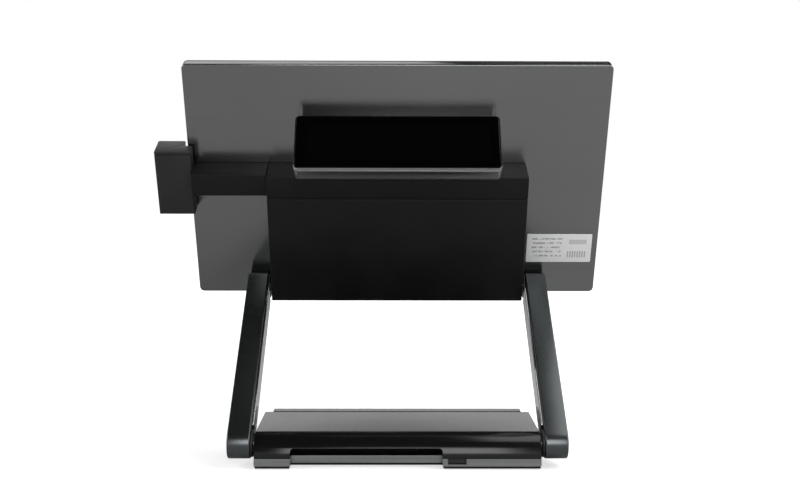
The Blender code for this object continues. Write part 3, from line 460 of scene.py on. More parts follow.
class Graph:
    """The nodes of a material or of the surroundings."""

    def __init__(self, tree: bpy.types.NodeTree) -> None:
        """Wrap a node tree."""
        self.nodes = tree.nodes
        self.links = tree.links

    def node(self, kind: str, settings: Optional[dict[str, Any]] = None,
             inputs: Optional[dict[Any, Any]] = None) -> bpy.types.Node:
        """Add any node.

        Args:
            kind: the node's type.
            settings: attributes that are set first.
            inputs: values, signals or sockets for its inputs.

        Returns:
            The node.
        """
        node = self.nodes.new(kind)
        for key, value in (settings or {}).items():
            setattr(node, key, value)
        for key, value in (inputs or {}).items():
            self.feed(node.inputs[key], value)
        return node

    def feed(self, socket: bpy.types.NodeSocket, value: Any) -> None:
        """Link a signal or socket to an input, or set it to a number.

        Args:
            socket: the input.
            value: a signal, a socket or a plain value.
        """
        if isinstance(value, Signal):
            self.links.new(value.socket, socket)
        elif isinstance(value, bpy.types.NodeSocket):
            self.links.new(value, socket)
        else:
            socket.default_value = value


class Shading(Graph):
    """One material's nodes, written as expressions on the piece's own coordinates."""

    def __init__(self, name: str, turn: float = 0.0, centre: Sequence[float] = (0.0, 0.0, 0.0)) -> None:
        """Start a material.

        Args:
            name: the material's name.
            turn: angle about X of the pattern's up direction.
            centre: the pattern's centre after the turn.
        """
        self.material = bpy.data.materials.new(name)
        self.material.use_nodes = True
        super().__init__(self.material.node_tree)
        self.shader = self.nodes["Principled BSDF"]
        coordinates = self.node("ShaderNodeTexCoord")
        shift = tuple(-value for value in centre)
        mapping = self.node("ShaderNodeMapping", {"vector_type": "POINT"},
                            {"Vector": coordinates.outputs["Object"], "Location": shift,
                             "Rotation": (turn, 0.0, 0.0)})
        self.place = mapping.outputs["Vector"]

    def axes(self) -> tuple[Signal, Signal, Signal]:
        """The three coordinates as signals."""
        node = self.node("ShaderNodeSeparateXYZ", None, {"Vector": self.place})
        return Signal(self, node.outputs[0]), Signal(self, node.outputs[1]), Signal(self, node.outputs[2])

    def noise(self, stretch: Union[float, Sequence[float]], detail: float = 2.0) -> Signal:
        """Noise with its own number of cells per metre along each coordinate.

        Args:
            stretch: cells per metre, along all or each coordinate.
            detail: number of finer layers.

        Returns:
            The noise.
        """
        scale = (stretch,) * 3 if isinstance(stretch, (int, float)) else tuple(stretch)
        mapped = self.node("ShaderNodeMapping", {"vector_type": "POINT"},
                           {"Vector": self.place, "Scale": scale})
        node = self.node("ShaderNodeTexNoise", None,
                         {"Vector": mapped.outputs["Vector"], "Scale": 1.0, "Detail": detail})
        return Signal(self, node.outputs["Fac"])

    def cells(self, scale: float) -> Signal:
        """Distance to the nearest point of a random scatter."""
        node = self.node("ShaderNodeTexVoronoi", None, {"Vector": self.place, "Scale": scale})
        return Signal(self, node.outputs["Distance"])

    def mix(self, first: Any, second: Any, factor: Signal) -> bpy.types.NodeSocket:
        """Blend of two colours.

        Args:
            first: colour where the factor is 0.
            second: colour where it is 1.
            factor: share of the second.

        Returns:
            The blend's socket.
        """
        node = self.node("ShaderNodeMix", {"data_type": "RGBA"}, {0: factor})
        self.feed(node.inputs[MIX_FIRST], first)
        self.feed(node.inputs[MIX_SECOND], second)
        return node.outputs[MIX_RESULT]

    def surface(self, **sockets: Any) -> None:
        """Set the shader's sockets, with underscores for the spaces in their names."""
        for key, value in sockets.items():
            self.feed(self.shader.inputs[key.replace("_", " ")], value)

    def relief(self, height: Signal, depth: float) -> None:
        """Bump from a height signal of a given depth in metres."""
        node = self.node("ShaderNodeBump", None, {"Height": height, "Distance": depth, "Strength": 1.0})
        self.links.new(node.outputs["Normal"], self.shader.inputs["Normal"])


def rgba(colour: Colour, gain: float = 1.0) -> tuple[float, float, float, float]:
    """A colour as a socket's value, brightened by a gain."""
    return tuple(min(1.0, value * gain) for value in colour) + (1.0,)


@dataclass(frozen=True)
class Finish:
    """What every finish shares."""

    colour: Colour
    roughness: float
    metallic: float = 0.0
    specular: float = 0.5
    coat: float = 0.0

    def material(self, name: str, turn: float = 0.0,
                 centre: Sequence[float] = (0.0, 0.0, 0.0)) -> bpy.types.Material:
        """Make the finish's material.

        Args:
            name: the material's name.
            turn: angle about X of the pattern's up direction.
            centre: the pattern's centre after the turn.

        Returns:
            The material.
        """
        shading = Shading(name, turn, centre)
        shading.surface(Base_Color=rgba(self.colour), Roughness=self.roughness, Metallic=self.metallic)
        shading.shader.inputs["Specular IOR Level"].default_value = self.specular
        shading.shader.inputs["Coat Weight"].default_value = self.coat
        shading.shader.inputs["Coat Roughness"].default_value = self.roughness * 0.5
        self.pattern(shading)
        return shading.material

    def pattern(self, shading: Shading) -> None:
        """Lay the finish's own detail over its plain values."""


@dataclass(frozen=True)
class Brushed(Finish):
    """Metal brushed along X: long streaks in tone, gloss and relief."""

    streak: float = 0.16
    groove: float = 0.000004
    smear: float = 0.0
    haze: float = 0.30

    def pattern(self, shading: Shading) -> None:
        """Fine and broad streaks, with faint hand marks in the gloss.

        Args:
            shading: the material's nodes.
        """
        fine = shading.noise((9.0, 3200.0, 3200.0), 3.0)
        broad = shading.noise((3.0, 420.0, 420.0), 2.0)
        cloud = shading.noise(16.0, 3.0)
        line = fine * 0.65 + broad * 0.35
        shading.shader.inputs["Anisotropic"].default_value = self.smear
        shading.shader.inputs["Anisotropic Rotation"].default_value = 0.25
        shading.surface(
            Base_Color=shading.mix(rgba(self.colour, 1 - self.streak), rgba(self.colour, 1 + self.streak),
                                   line.ramp(0.30, 0.70)),
            Roughness=self.roughness + (line - 0.5) * self.haze + (cloud - 0.5) * 0.06)
        shading.relief(line, self.groove)


@dataclass(frozen=True)
class Grained(Finish):
    """Moulded plastic: a fine spark-eroded grain and slightly uneven gloss."""

    cell: float = 2600.0
    grain: float = 0.000018

    def pattern(self, shading: Shading) -> None:
        """Grain in the relief, handling in the gloss.

        Args:
            shading: the material's nodes.
        """
        grain = shading.cells(self.cell)
        handled = shading.noise(28.0, 4.0)
        shading.surface(
            Base_Color=shading.mix(rgba(self.colour, 0.86), rgba(self.colour, 1.18),
                                   handled.ramp(0.35, 0.65)),
            Roughness=self.roughness + (handled - 0.5) * 0.14 + (grain - 0.4) * 0.05)
        shading.relief(grain, self.grain)


@dataclass(frozen=True)
class Coated(Finish):
    """Baked coat on metal: orange peel under a soft sheen, with tiny dust specks."""

    peel: float = 1100.0
    relief_depth: float = 0.000012

    def pattern(self, shading: Shading) -> None:
        """Orange peel in the relief, specks in the tone.

        Args:
            shading: the material's nodes.
        """
        peel = shading.noise(self.peel, 2.0)
        cloud = shading.noise(18.0, 3.0)
        speck = shading.noise(5200.0, 1.0).ramp(0.70, 0.78)
        tone = cloud * 0.6 + speck * 0.4
        shading.surface(
            Base_Color=shading.mix(rgba(self.colour, 0.90), rgba(self.colour, 1.22), tone.ramp(0.2, 0.8)),
            Roughness=self.roughness + (peel - 0.5) * 0.10 + (cloud - 0.5) * 0.08)
        shading.relief(peel, self.relief_depth)


@dataclass(frozen=True)
class Polished(Finish):
    """Mirror metal with hairlines and faint smears."""

    def pattern(self, shading: Shading) -> None:
        """Hairlines and smears in the gloss.

        Args:
            shading: the material's nodes.
        """
        hair = shading.noise((60.0, 2600.0, 260.0), 2.0).ramp(0.58, 0.74)
        smear = shading.noise(34.0, 4.0)
        shading.surface(
            Base_Color=shading.mix(rgba(self.colour), rgba(self.colour, 0.88), hair),
            Roughness=self.roughness + hair * 0.05 + smear.ramp(0.45, 0.75) * 0.07)


@dataclass(frozen=True)
class Bare(Finish):
    """Zinc-bright or milled metal: mottled tone and short scratches."""

    def pattern(self, shading: Shading) -> None:
        """Mottling in the tone and scratches in the gloss.

        Args:
            shading: the material's nodes.
        """
        mottle = shading.noise(220.0, 4.0)
        scratch = shading.noise((900.0, 90.0, 2400.0), 2.0)
        shading.surface(
            Base_Color=shading.mix(rgba(self.colour, 0.74), rgba(self.colour, 1.20), mottle.ramp(0.3, 0.7)),
            Roughness=self.roughness + (mottle - 0.5) * 0.20 + scratch.ramp(0.55, 0.7) * 0.10)
        shading.relief(scratch, 0.000005)


@dataclass(frozen=True)
class DarkGlass(Finish):
    """Glass printed black behind, with a slightly lighter window inside the print."""

    window: tuple[float, float] = (0.0, 0.0)
    window_gain: float = 2.0

    def pattern(self, shading: Shading) -> None:
        """The window in the tone, finger marks in the gloss.

        Args:
            shading: the material's nodes.
        """
        across, _, up = shading.axes()
        half_across, half_up = self.window
        inside = across.within(-half_across, half_across) * up.within(-half_up, half_up)
        marks = shading.noise(46.0, 5.0).ramp(0.55, 0.80)
        shading.surface(
            Base_Color=shading.mix(rgba(self.colour), rgba(self.colour, self.window_gain), inside),
            Roughness=self.roughness + marks * 0.05)


@dataclass(frozen=True)
class PrintedFilm(Finish):
    """White film with plain printed bars and a block, and no lettering."""

    ink: Colour = (0.16, 0.16, 0.165)
    half_width: float = 0.03
    half_height: float = 0.015

    def pattern(self, shading: Shading) -> None:
        """Rows of bars on one side, a ruled block on the other and a thin border.

        Args:
            shading: the material's nodes.
        """
        across, _, up = shading.axes()
        wide, tall = self.half_width, self.half_height
        broken = shading.noise((520.0, 1.0, 330.0), 0.0) > 0.46
        lines = up.bars(tall * 0.30, 0.36) * across.within(-0.08 * wide, 0.84 * wide)
        lines = lines * up.within(-0.74 * tall, 0.70 * tall) * broken
        block = across.bars(wide * 0.075, 0.5) * across.within(-0.84 * wide, -0.26 * wide)
        block = block * up.within(-0.66 * tall, -0.22 * tall)
        title = across.within(-0.84 * wide, -0.30 * wide) * up.within(0.28 * tall, 0.60 * tall)
        ink = (lines + block + title * 0.55).ramp(0.0, 1.0)
        paper = shading.noise(900.0, 2.0)
        shading.surface(
            Base_Color=shading.mix(rgba(self.colour), rgba(self.ink), ink * 0.62),
            Roughness=self.roughness + (paper - 0.5) * 0.10 - ink * 0.08)
        shading.relief(paper, 0.000006)


@dataclass(frozen=True)
class CircuitMask(Finish):
    """Solder mask with fine tracks and bright pads."""

    copper: Colour = (0.60, 0.50, 0.30)

    def pattern(self, shading: Shading) -> None:
        """Tracks as ruled lines broken by noise, pads as a scatter of dots.

        Args:
            shading: the material's nodes.
        """
        across, _, up = shading.axes()
        patch = shading.noise(70.0, 1.0)
        tracks = across.bars(0.0016, 0.30) * (patch > 0.52) + up.bars(0.0018, 0.30) * (patch < 0.46)
        pads = shading.cells(330.0) < 0.16
        shading.surface(
            Base_Color=shading.mix(shading.mix(rgba(self.colour), rgba(self.colour, 1.9), tracks),
                                   rgba(self.copper), pads),
            Roughness=self.roughness - pads * 0.15,
            Metallic=pads * 0.9)
        shading.relief(tracks + pads, 0.00002)


class Look(Enum):
    """Every finish of the terminal."""

    RUBBER = Grained((0.012, 0.012, 0.012), 0.78, specular=0.3, cell=1500.0, grain=0.00005)
    STRIP = Brushed((0.31, 0.32, 0.315), 0.34, 1.0, streak=0.16, groove=0.000006)
    BASE = Coated((0.0060, 0.0060, 0.0060), 0.18, specular=0.45, peel=1700.0, relief_depth=0.0000008)
    BLACK_PLASTIC = Grained((0.010, 0.010, 0.010), 0.46)
    HOUSING = Grained((0.0042, 0.0046, 0.0044), 0.42, specular=0.28, cell=3600.0, grain=0.000010)
    READER = Grained((0.0125, 0.0133, 0.0127), 0.42, cell=3000.0, grain=0.000014)
    ARM = Coated((0.118, 0.128, 0.131), 0.29, 0.93, peel=2200.0, relief_depth=0.0000008)
    MIRROR = Polished((0.80, 0.81, 0.82), 0.05, 1.0)
    PANEL = Brushed((0.245, 0.251, 0.246), 0.20, 1.0, streak=0.035, groove=0.0000003, smear=0.80, haze=0.06)
    CASE = Brushed((0.36, 0.36, 0.36), 0.30, 1.0, streak=0.08, groove=0.000002)
    CHROME = Polished((0.40, 0.405, 0.41), 0.10, 1.0)
    STEEL = Bare((0.50, 0.50, 0.51), 0.32, 1.0)
    ALUMINIUM = Bare((0.66, 0.66, 0.67), 0.38, 1.0)
    FILM = Grained((0.02, 0.02, 0.021), 0.5, cell=1800.0)
    BOARD = CircuitMask((0.012, 0.070, 0.030), 0.42)

    def plain(self, name: str, turn: float = 0.0) -> bpy.types.Material:
        """The finish's material, with its pattern turned about X."""
        return self.value.material(name, turn)


# ---------------------------------------------------------------- shared places
@dataclass(frozen=True)
class Places:
    """The terminal's joints and leaning frames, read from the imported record."""

    lower_axis: np.ndarray
    upper_axis: np.ndarray
    display_axis: np.ndarray
    panel_up: np.ndarray
    panel_out: np.ndarray

    @classmethod
    def read(cls, record: dict[str, Any]) -> "Places":
        """Read the joints.

        Args:
            record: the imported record.

        Returns:
            The places.
        """
        joints = {joint["name"]: joint for joint in record["behaviour"]["joints"]}
        unit = {name: np.array(joint["axis"], dtype=float) for name, joint in joints.items()}
        unit = {name: axis / np.linalg.norm(axis) for name, axis in unit.items()}
        spot = {name: np.array(joint["pos_m"], dtype=float)
                for name, joint in joints.items() if "pos_m" in joint}
        return cls(spot["arm_lift"], spot["screen_tilt"], spot["customer_display_tilt"],
                   unit["power_press"], unit["cable_cover_slide"])

    @property
    def head(self) -> Placement:
        """The leaning screen, seen from behind: up the panel and out to the rear."""
        return Placement(self.upper_axis, self.panel_up, self.panel_out)

    @property
    def arm(self) -> Placement:
        """An arm, along it from the lower axis and out along X."""
        along = self.upper_axis - self.lower_axis
        return Placement(self.lower_axis, along / np.linalg.norm(along), X)

    @property
    def display(self) -> Placement:
        """The customer display: up its glass and out of it."""
        mesh = bpy.data.objects["display_glass"].data
        best = max((face for face in mesh.polygons if face.normal.y > 0), key=lambda face: face.area)
        out = np.array((0.0, best.normal.y, best.normal.z))
        out /= np.linalg.norm(out)
        return Placement(self.display_axis, np.array((0.0, -out[2], out[1])), out)


def box_outline(low: np.ndarray, high: np.ndarray, radius: float) -> np.ndarray:
    """Rounded outline of a measured box's across and up extent."""
    return rounded(low[:2], high[:2], radius)


def cutter_box(place: Placement, low: Sequence[float], high: Sequence[float]) -> bpy.types.Object:
    """A cutter between two local corners."""
    outline = np.array([(low[0], low[1]), (high[0], low[1]), (high[0], high[1]), (low[0], high[1])])
    return piece("cutter", slab(outline, low[2], high[2], 0.0, 0), place, None)


def plate(name: str, node: str, place: Placement, finish: Union[Look, bpy.types.Material], body: str,
          corner: float, edge: float, steps: int = 4) -> bpy.types.Object:
    """A plate with round corners and edges that fills a node's box and stands for it.

    Args:
        name: the piece's name.
        node: the node of the working model.
        place: the local frame in which the node is a box.
        finish: a finish, or a material made for this piece.
        body: the body that it rides on.
        corner: radius of the outline's corners.
        edge: radius of its edges.
        steps: steps in each edge.

    Returns:
        The new object.
    """
    low, high = place.extent(node)
    material = finish.plain(name, place.turn) if isinstance(finish, Look) else finish
    surface = slab(box_outline(low, high, corner), low[2], high[2], edge, steps)
    return piece(name, surface, place, material, body, [node])


# A screw head's crown and the width across its socket, as shares of its radius, and the
# height of the socket's floor as a share of its rise.
CROWN, SOCKET, SOCKET_FLOOR = 0.72, 0.46, 0.35


def screw(name: str, place: Placement, body: str, radius: float = 0.0026, rise: float = 0.0014) -> None:
    """A pan-head screw with a six-sided socket, standing on a local frame's origin.

    Over a quarter turn a its profile is radius (crown + (1 - crown) cos a) at rise sin a.

    Args:
        name: the piece's name.
        place: where it stands, with out along the screw.
        body: the body that it rides on.
        radius: the head's radius.
        rise: the head's height.
    """
    angle = np.linspace(0, math.pi / 2, 6)
    dome = np.stack([radius * (CROWN + (1 - CROWN) * np.cos(angle)), rise * np.sin(angle)], axis=-1)
    head = piece(name, turned([(radius, 0.0), *map(tuple, dome)], steps=32), place,
                 Look.STEEL.plain(name), body)
    socket = slab(circle(radius * SOCKET, 6), rise * SOCKET_FLOOR, rise * 2, 0.0, 0)
    carve(head, [piece("cutter", socket, place, None)])


# ---------------------------------------------------------------- base
@dataclass
class Base:
    """Bent rear cover, ridged front cover, tray, pad and bearing blocks."""

    body: str = "base"
    wall: float = 0.0018
    edge: float = 0.0005
    outlet_corner: float = 0.003
    shaft_hole: float = 0.0036
    level: float = 0.00002
    touch: float = 0.0001
    rim: float = 0.004
    clear: float = 0.0005
    crisp: float = 28.0
    bend_radius: float = field(init=False)

    def build(self, places: Places) -> None:
        """Make the base's pieces.

        Args:
            places: the terminal's joints and frames.
        """
        self.rear_cover(places)
        for name, look in (("base_front_cover", Look.BASE), ("base_tray", Look.STRIP),
                           # The weight plate gets the darkest black finish as painted shade: it darkens the
                           # inside seen through the cable outlet.
                           ("base_pad", Look.RUBBER), ("base_weight_plate", Look.HOUSING),
                           ("base_hinge_block_left", Look.STEEL), ("base_hinge_block_right", Look.STEEL),
                           ("lock_slot_insert", Look.BLACK_PLASTIC)):
            dress(name, look)

    def section(self, low: np.ndarray, high: np.ndarray, inset: float) -> np.ndarray:
        """Side outline of the rear cover in (y, z), its rear top corner a quarter round.

        Args:
            low: the cover's lowest corner.
            high: its highest corner.
            inset: how far inside the cover's skin it lies.

        Returns:
            Array of (y, z) points.
        """
        angle = np.linspace(0, math.pi / 2, 25)
        radius = self.bend_radius - inset
        centre = np.array((high[1] - self.bend_radius, high[2] - self.bend_radius))
        bend = centre + radius * np.stack([np.cos(angle), np.sin(angle)], axis=-1)
        past = OVERCUT if inset else 0.0
        front = (low[1] - past, low[2] - past)
        return np.concatenate([[front, (high[1] - inset, front[1])], bend, [(front[0], high[2] - inset)]])

    def rear_cover(self, places: Places) -> None:
        """The bent cover, hollow, with its cable outlet and shaft holes.

        Args:
            places: the terminal's joints and frames.
        """
        low, high = (np.array(corner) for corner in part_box("base_cover"))
        points = node_points("base_cover")
        self.bend_radius = high[1] - points[points[:, 2] > high[2] - self.level, 1].max()
        side = Placement(np.zeros(3), Z, X)
        cover = piece("rear_base_cover", slab(self.section(low, high, 0.0), low[0], high[0], self.edge, 3),
                      side, Look.BASE.plain("rear_base_cover"), self.body, ["base_cover"])
        hollow = piece("cutter", slab(self.section(low, high, self.wall), low[0] + self.wall,
                                      high[0] - self.wall, 0.0, 0), side, None)
        outlet_low, outlet_high = self.outlet(low)
        rear = Placement(np.zeros(3), Z, Y)
        outline = rounded((-outlet_high[0], low[2] - 2 * self.outlet_corner),
                          (-outlet_low[0], outlet_high[1]), self.outlet_corner)
        outlet = piece("cutter", slab(outline, high[1] - self.bend_radius, high[1] + OVERCUT, 0.0, 0), rear,
                       None)
        bar = slab(circle(self.shaft_hole, 40), low[0] - OVERCUT, high[0] + OVERCUT, 0.0, 0)
        shaft = piece("cutter", bar, side.at(places.lower_axis), None)
        carve(cover, [hollow, outlet, shaft], self.crisp)

    def outlet(self, cover_low: np.ndarray) -> tuple[np.ndarray, np.ndarray]:
        """The outlet's (x, z) extent, from the working model's own cut edges.

        Args:
            cover_low: the cover's lowest corner.

        Returns:
            Its lowest and its highest (x, z).
        """
        points = node_points("base_cover")
        rear = points[:, 1].max()
        inner = np.abs(points[:, 0]) < np.abs(points[:, 0]).max() - 2 * self.wall
        foot = points[inner & (points[:, 1] > rear - self.touch)
                      & (points[:, 2] < cover_low[2] + self.touch)]
        left, right = foot[:, 0].min(), foot[:, 0].max()
        edge = points[inner & (points[:, 1] > rear - self.rim) & (points[:, 2] > cover_low[2] + self.rim)
                      & (points[:, 0] > left + self.clear) & (points[:, 0] < right - self.clear)]
        return np.array((left, cover_low[2])), np.array((right, edge[:, 2].max()))


def dress(node: str, look: Look, turn: float = 0.0) -> None:
    """Give a node of the working model a finish.

    Args:
        node: the node's name.
        look: its finish.
        turn: angle about X of the pattern.
    """
    mesh = bpy.data.objects[node].data
    material = look.plain(node, turn)
    for index in range(max(1, len(mesh.materials))):
        if index < len(mesh.materials):
            mesh.materials[index] = material
        else:
            mesh.materials.append(material)
    LOG.info("dressed %s as %s", node, look.name.lower())


# ---------------------------------------------------------------- arms
@dataclass
class Arms:
    """Two slate arms with polished inner strips and friction hinges at both ends."""

    body: str = "arms"
    edge: float = 0.0012
    strip_edge: float = 0.0005
    disc_edge: float = 0.0004
    bore: float = 0.0033
    spring_plates: int = 4
    strip_corner: float = 0.0012
    spring_rim: float = 0.94
    spring_flat: tuple[float, float] = (0.2, 0.8)
    shaft_play: float = 0.0003
    chamfer: float = 0.0004
    head_rise: float = 0.0026
    dome_share: float = 0.55

    def build(self, places: Places) -> None:
        """Make both arms and all four hinges.

        Args:
            places: the terminal's joints and frames.
        """
        for side in ("left", "right"):
            self.shell(places.arm, side)
            self.strip(places.arm, side)
            for end, spot in (("lower", places.lower_axis), ("upper", places.upper_axis)):
                self.hinge(places.arm.at(spot), side, end)

    def add(self, name: str, surface: Surface, place: Placement, look: Look, node: str, slot: str) -> None:
        """Add one piece that stands for a node."""
        piece(name, surface, place, look.plain(name, place.turn), self.body, [node])

    def shell(self, arm: Placement, side: str) -> None:
        """The arm itself, a bar with round ends and softly rounded edges.

        Args:
            arm: the arm's frame.
            side: left or right.
        """
        node = "arm_shell_" + side
        low, high = arm.extent(node)
        radius = (high[0] - low[0]) / 2
        outline = stadium(high[1] - low[1] - 2 * radius, radius)
        self.add("arm_" + side, slab(outline, low[2], high[2], self.edge, 6), arm, Look.ARM, node,
                 "arm_paint")

    def strip(self, arm: Placement, side: str) -> None:
        """The polished strip on the arm's inner side."""
        plate("arm_strip_" + side, "arm_inner_cover_" + side, arm, Look.MIRROR, self.body,
              self.strip_corner, self.strip_edge)

    def hinge(self, axis: Placement, side: str, end: str) -> None:
        """Friction disc, washer, disc springs and shaft on one axis.

        Args:
            axis: frame on the hinge's axis, with out along it.
            side: left or right.
            end: lower or upper.
        """
        for kind, look, slot in (("friction_disc", Look.BLACK_PLASTIC, "black_plastic"),
                                 ("washer", Look.MIRROR, "polished")):
            node = f"{end}_{kind}_{side}"
            low, high = axis.extent(node)
            ring = washer(high[0], self.bore, low[2], high[2], self.disc_edge)
            self.add(node + "_round", ring, axis, look, node, slot)
        self.springs(axis, f"{end}_disc_springs_{side}")
        self.shaft(axis, f"{end}_hinge_shaft_{side}")

    def springs(self, axis: Placement, node: str) -> None:
        """A stack of spring plates: the rim steps in between each plate and the next.

        Args:
            axis: frame on the hinge's axis, with out along it.
            node: the node's name.
        """
        low, high = axis.extent(node)
        step = (high[2] - low[2]) / self.spring_plates
        heights = [low[2]]
        rim = high[0] * self.spring_rim
        radii = [rim]
        for layer in range(self.spring_plates):
            start = low[2] + layer * step
            heights += [start + share * step for share in (*self.spring_flat, 1.0)]
            radii += [high[0], high[0], rim]
        profile = [*zip(radii, heights), (self.bore, high[2]), (self.bore, low[2])]
        self.add(node + "_stack", turned(profile, closed=True, steps=40), axis, Look.STEEL, node, "steel")

    def shaft(self, axis: Placement, node: str) -> None:
        """The shaft with its domed riveted head on the inner end.

        Args:
            axis: frame on the hinge's axis, with out along it.
            node: the node's name.
        """
        low, high = axis.extent(node)
        radius = self.bore - self.shaft_play
        length = high[2] - low[2]
        dome = self.head_rise * self.dome_share
        inner_is_low = abs(low[2]) < abs(high[2])
        angle = np.linspace(math.pi / 2, 0, 7)
        local = [(max(high[0] * math.cos(a), self.chamfer), dome * (1 - math.sin(a))) for a in angle]
        local += [(high[0], self.head_rise), (radius, self.head_rise), (radius, length - self.chamfer),
                  (radius - self.chamfer, length)]
        if inner_is_low:
            profile = [(r, low[2] + h) for r, h in local]
        else:
            profile = [(r, high[2] - h) for r, h in reversed(local)]
        self.add(node + "_turned", turned(profile, steps=40), axis, Look.STEEL, node, "steel")


# ---------------------------------------------------------------- screen
@dataclass
class Screen:
    """Glass, brushed rear shell, label, housing and what it holds."""

    body: str = "screen"
    corner: float = 0.0045
    shell_edge: float = 0.0009
    housing_edge: float = 0.0006
    wall: float = 0.002
    picture: tuple[float, float] = (0.1721, 0.0968)
    shaft_room: float = 0.0036
    rear_wall: float = 0.0013
    glass_edge: float = 0.0006
    label_corner: float = 0.0012
    label_edge: float = 0.0001
    housing_corner: float = 0.0010
    plate_room: float = 0.0014
    slot_reach: float = 0.004
    button_lap: float = 0.0005
    button_inset: float = 0.0008
    button_corner: float = 0.0009
    button_edge: float = 0.0004
    seat: float = 0.0001
    board_screw: tuple[float, float] = (0.006, 0.008)
    bracket_screw: float = 0.008
    bracket_foot: float = 0.0027
    bracket_shares: tuple[float, float] = (0.62, 0.88)
    # Each chip: its place as shares of the board, half its width and its height.
    chips: tuple[tuple[float, float, float, float], ...] = (
        (0.50, 0.30, 0.0075, 0.0012), (0.56, 0.52, 0.0050, 0.0011), (0.50, 0.72, 0.0042, 0.0010))
    chip_corner: float = 0.0003
    chip_edge: float = 0.00015
    cans: int = 6
    # The capacitors' row: first share across, step across and share up the board.
    can_row: tuple[float, float, float] = (0.44, 0.028, 0.90)
    # A capacitor's (radius, height) profile.
    can: tuple[tuple[float, float], ...] = (
        (0.0018, 0.0), (0.0018, 0.0006), (0.00165, 0.0009), (0.0018, 0.0012), (0.0018, 0.0048),
        (0.0016, 0.0050), (0.0013, 0.00485))

    def build(self, places: Places) -> None:
        """Make the screen's pieces.

        Args:
            places: the terminal's joints and frames.
        """
        head = places.head
        self.panel(head)
        self.label(head)
        self.rail(head)
        self.cable_cover(head)
        self.button(head)
        self.inside(head)

    def panel(self, head: Placement) -> None:
        """The brushed shell and the glass in front of it.

        Args:
            head: the leaning screen's frame.
        """
        low, high = head.extent("screen_rear_shell")
        shell = plate("rear_shell", "screen_rear_shell", head, Look.PANEL, self.body,
                      self.corner, self.shell_edge, 5)
        hollow = box_outline(low + self.wall, high - self.wall, self.corner - self.wall)
        cavity = piece("cutter", slab(hollow, low[2] - OVERCUT, high[2] - self.rear_wall, 0.0, 0), head, None)
        button_low, button_high = head.extent("power_button")
        lap = self.button_lap
        slot = cutter_box(head, (button_low[0] + lap, low[1] - OVERCUT, button_low[2] + lap),
                          (button_high[0] - lap, low[1] + self.slot_reach, button_high[2] - lap))
        carve(shell, [cavity, slot])
        low, high = head.extent("touch_glass")
        finish = DarkGlass((0.0032, 0.0032, 0.0036), 0.045, coat=0.4, window=self.picture)
        spot = (0.0, 0.0, float(head.world((low + high) / 2) @ head.up))
        plate("front_glass", "touch_glass", head, finish.material("front_glass", head.turn, spot), self.body,
              self.corner, self.glass_edge)

    def label(self, head: Placement) -> None:
        """The printed film beside the housing.

        Args:
            head: the leaning screen's frame.
        """
        low, high = head.extent("rating_label")
        centre = head.world((low + high) / 2)
        finish = PrintedFilm((0.93, 0.94, 0.93), 0.55, half_width=(high[0] - low[0]) / 2,
                             half_height=(high[1] - low[1]) / 2)
        spot = (float(centre[0]), 0.0, float(centre @ head.up))
        plate("label_film", "rating_label", head, finish.material("label_film", head.turn, spot), self.body,
              self.label_corner, self.label_edge, 2)

    def rail(self, head: Placement) -> None:
        """The fixed upper part of the housing, open towards the panel and the cover.

        Args:
            head: the leaning screen's frame.
        """
        low, high = head.extent("housing_rail")
        rail = plate("housing_top", "housing_rail", head, Look.HOUSING, self.body,
                     self.housing_corner, self.housing_edge)
        carve(rail, [cutter_box(head, (low[0] + self.wall, low[1] - OVERCUT, low[2] - OVERCUT),
                                (high[0] - self.wall, high[1] - self.wall, high[2] - self.wall))])

    def cable_cover(self, head: Placement) -> None:
        """The pull-off lower part of the housing, on its own body.

        Args:
            head: the leaning screen's frame.
        """
        low, high = head.extent("rear_cover")
        cover = plate("cable_cover_shell", "rear_cover", head, Look.HOUSING, "cable_cover",
                      self.housing_corner, self.housing_edge)
        plate_face = head.extent("io_plate")[1][2] + self.plate_room
        inner_low, inner_high = low + self.wall, high - self.wall
        past_low, past_high = low - OVERCUT, high + OVERCUT
        carve(cover, [
            cutter_box(head, (*inner_low[:2], past_low[2]), (inner_high[0], past_high[1], inner_high[2])),
            cutter_box(head, past_low, (past_high[0], self.shaft_room, self.shaft_room)),
            cutter_box(head, (inner_low[0], *past_low[1:]),
                       (inner_high[0], inner_low[1] + OVERCUT, plate_face))])

    def button(self, head: Placement) -> None:
        """The power button, with a softly rounded press face.

        Args:
            head: the leaning screen's frame.
        """
        down = head.facing(head.up, -head.out)
        low, high = down.extent("power_button")
        face = rounded(low[:2] + self.button_inset, high[:2] - self.button_inset, self.button_corner)
        piece("power_button_cap", slab(face, low[2], high[2], self.button_edge), down,
              Look.BLACK_PLASTIC.plain("power_button_cap", head.turn), "power_button", ["power_button"])

    def inside(self, head: Placement) -> None:
        """Finishes and small parts inside the housing.

        Args:
            head: the leaning screen's frame.
        """
        nodes = {Look.FILM: ("lcd_module",), Look.BOARD: ("main_board",), Look.ALUMINIUM: ("heat_sink",),
                 Look.CASE: ("storage_drive",),
                 Look.BLACK_PLASTIC: ("power_switch", "speaker", "dc_inlet", "serial_ports"),
                 Look.STEEL: ("io_plate", "board_carrier", "lan_port", "usb_ports",
                              "screen_hinge_bracket_left", "screen_hinge_bracket_right")}
        for look, names in nodes.items():
            for name in names:
                dress(name, look, head.turn)
        self.screws(head)
        self.board_parts(head)

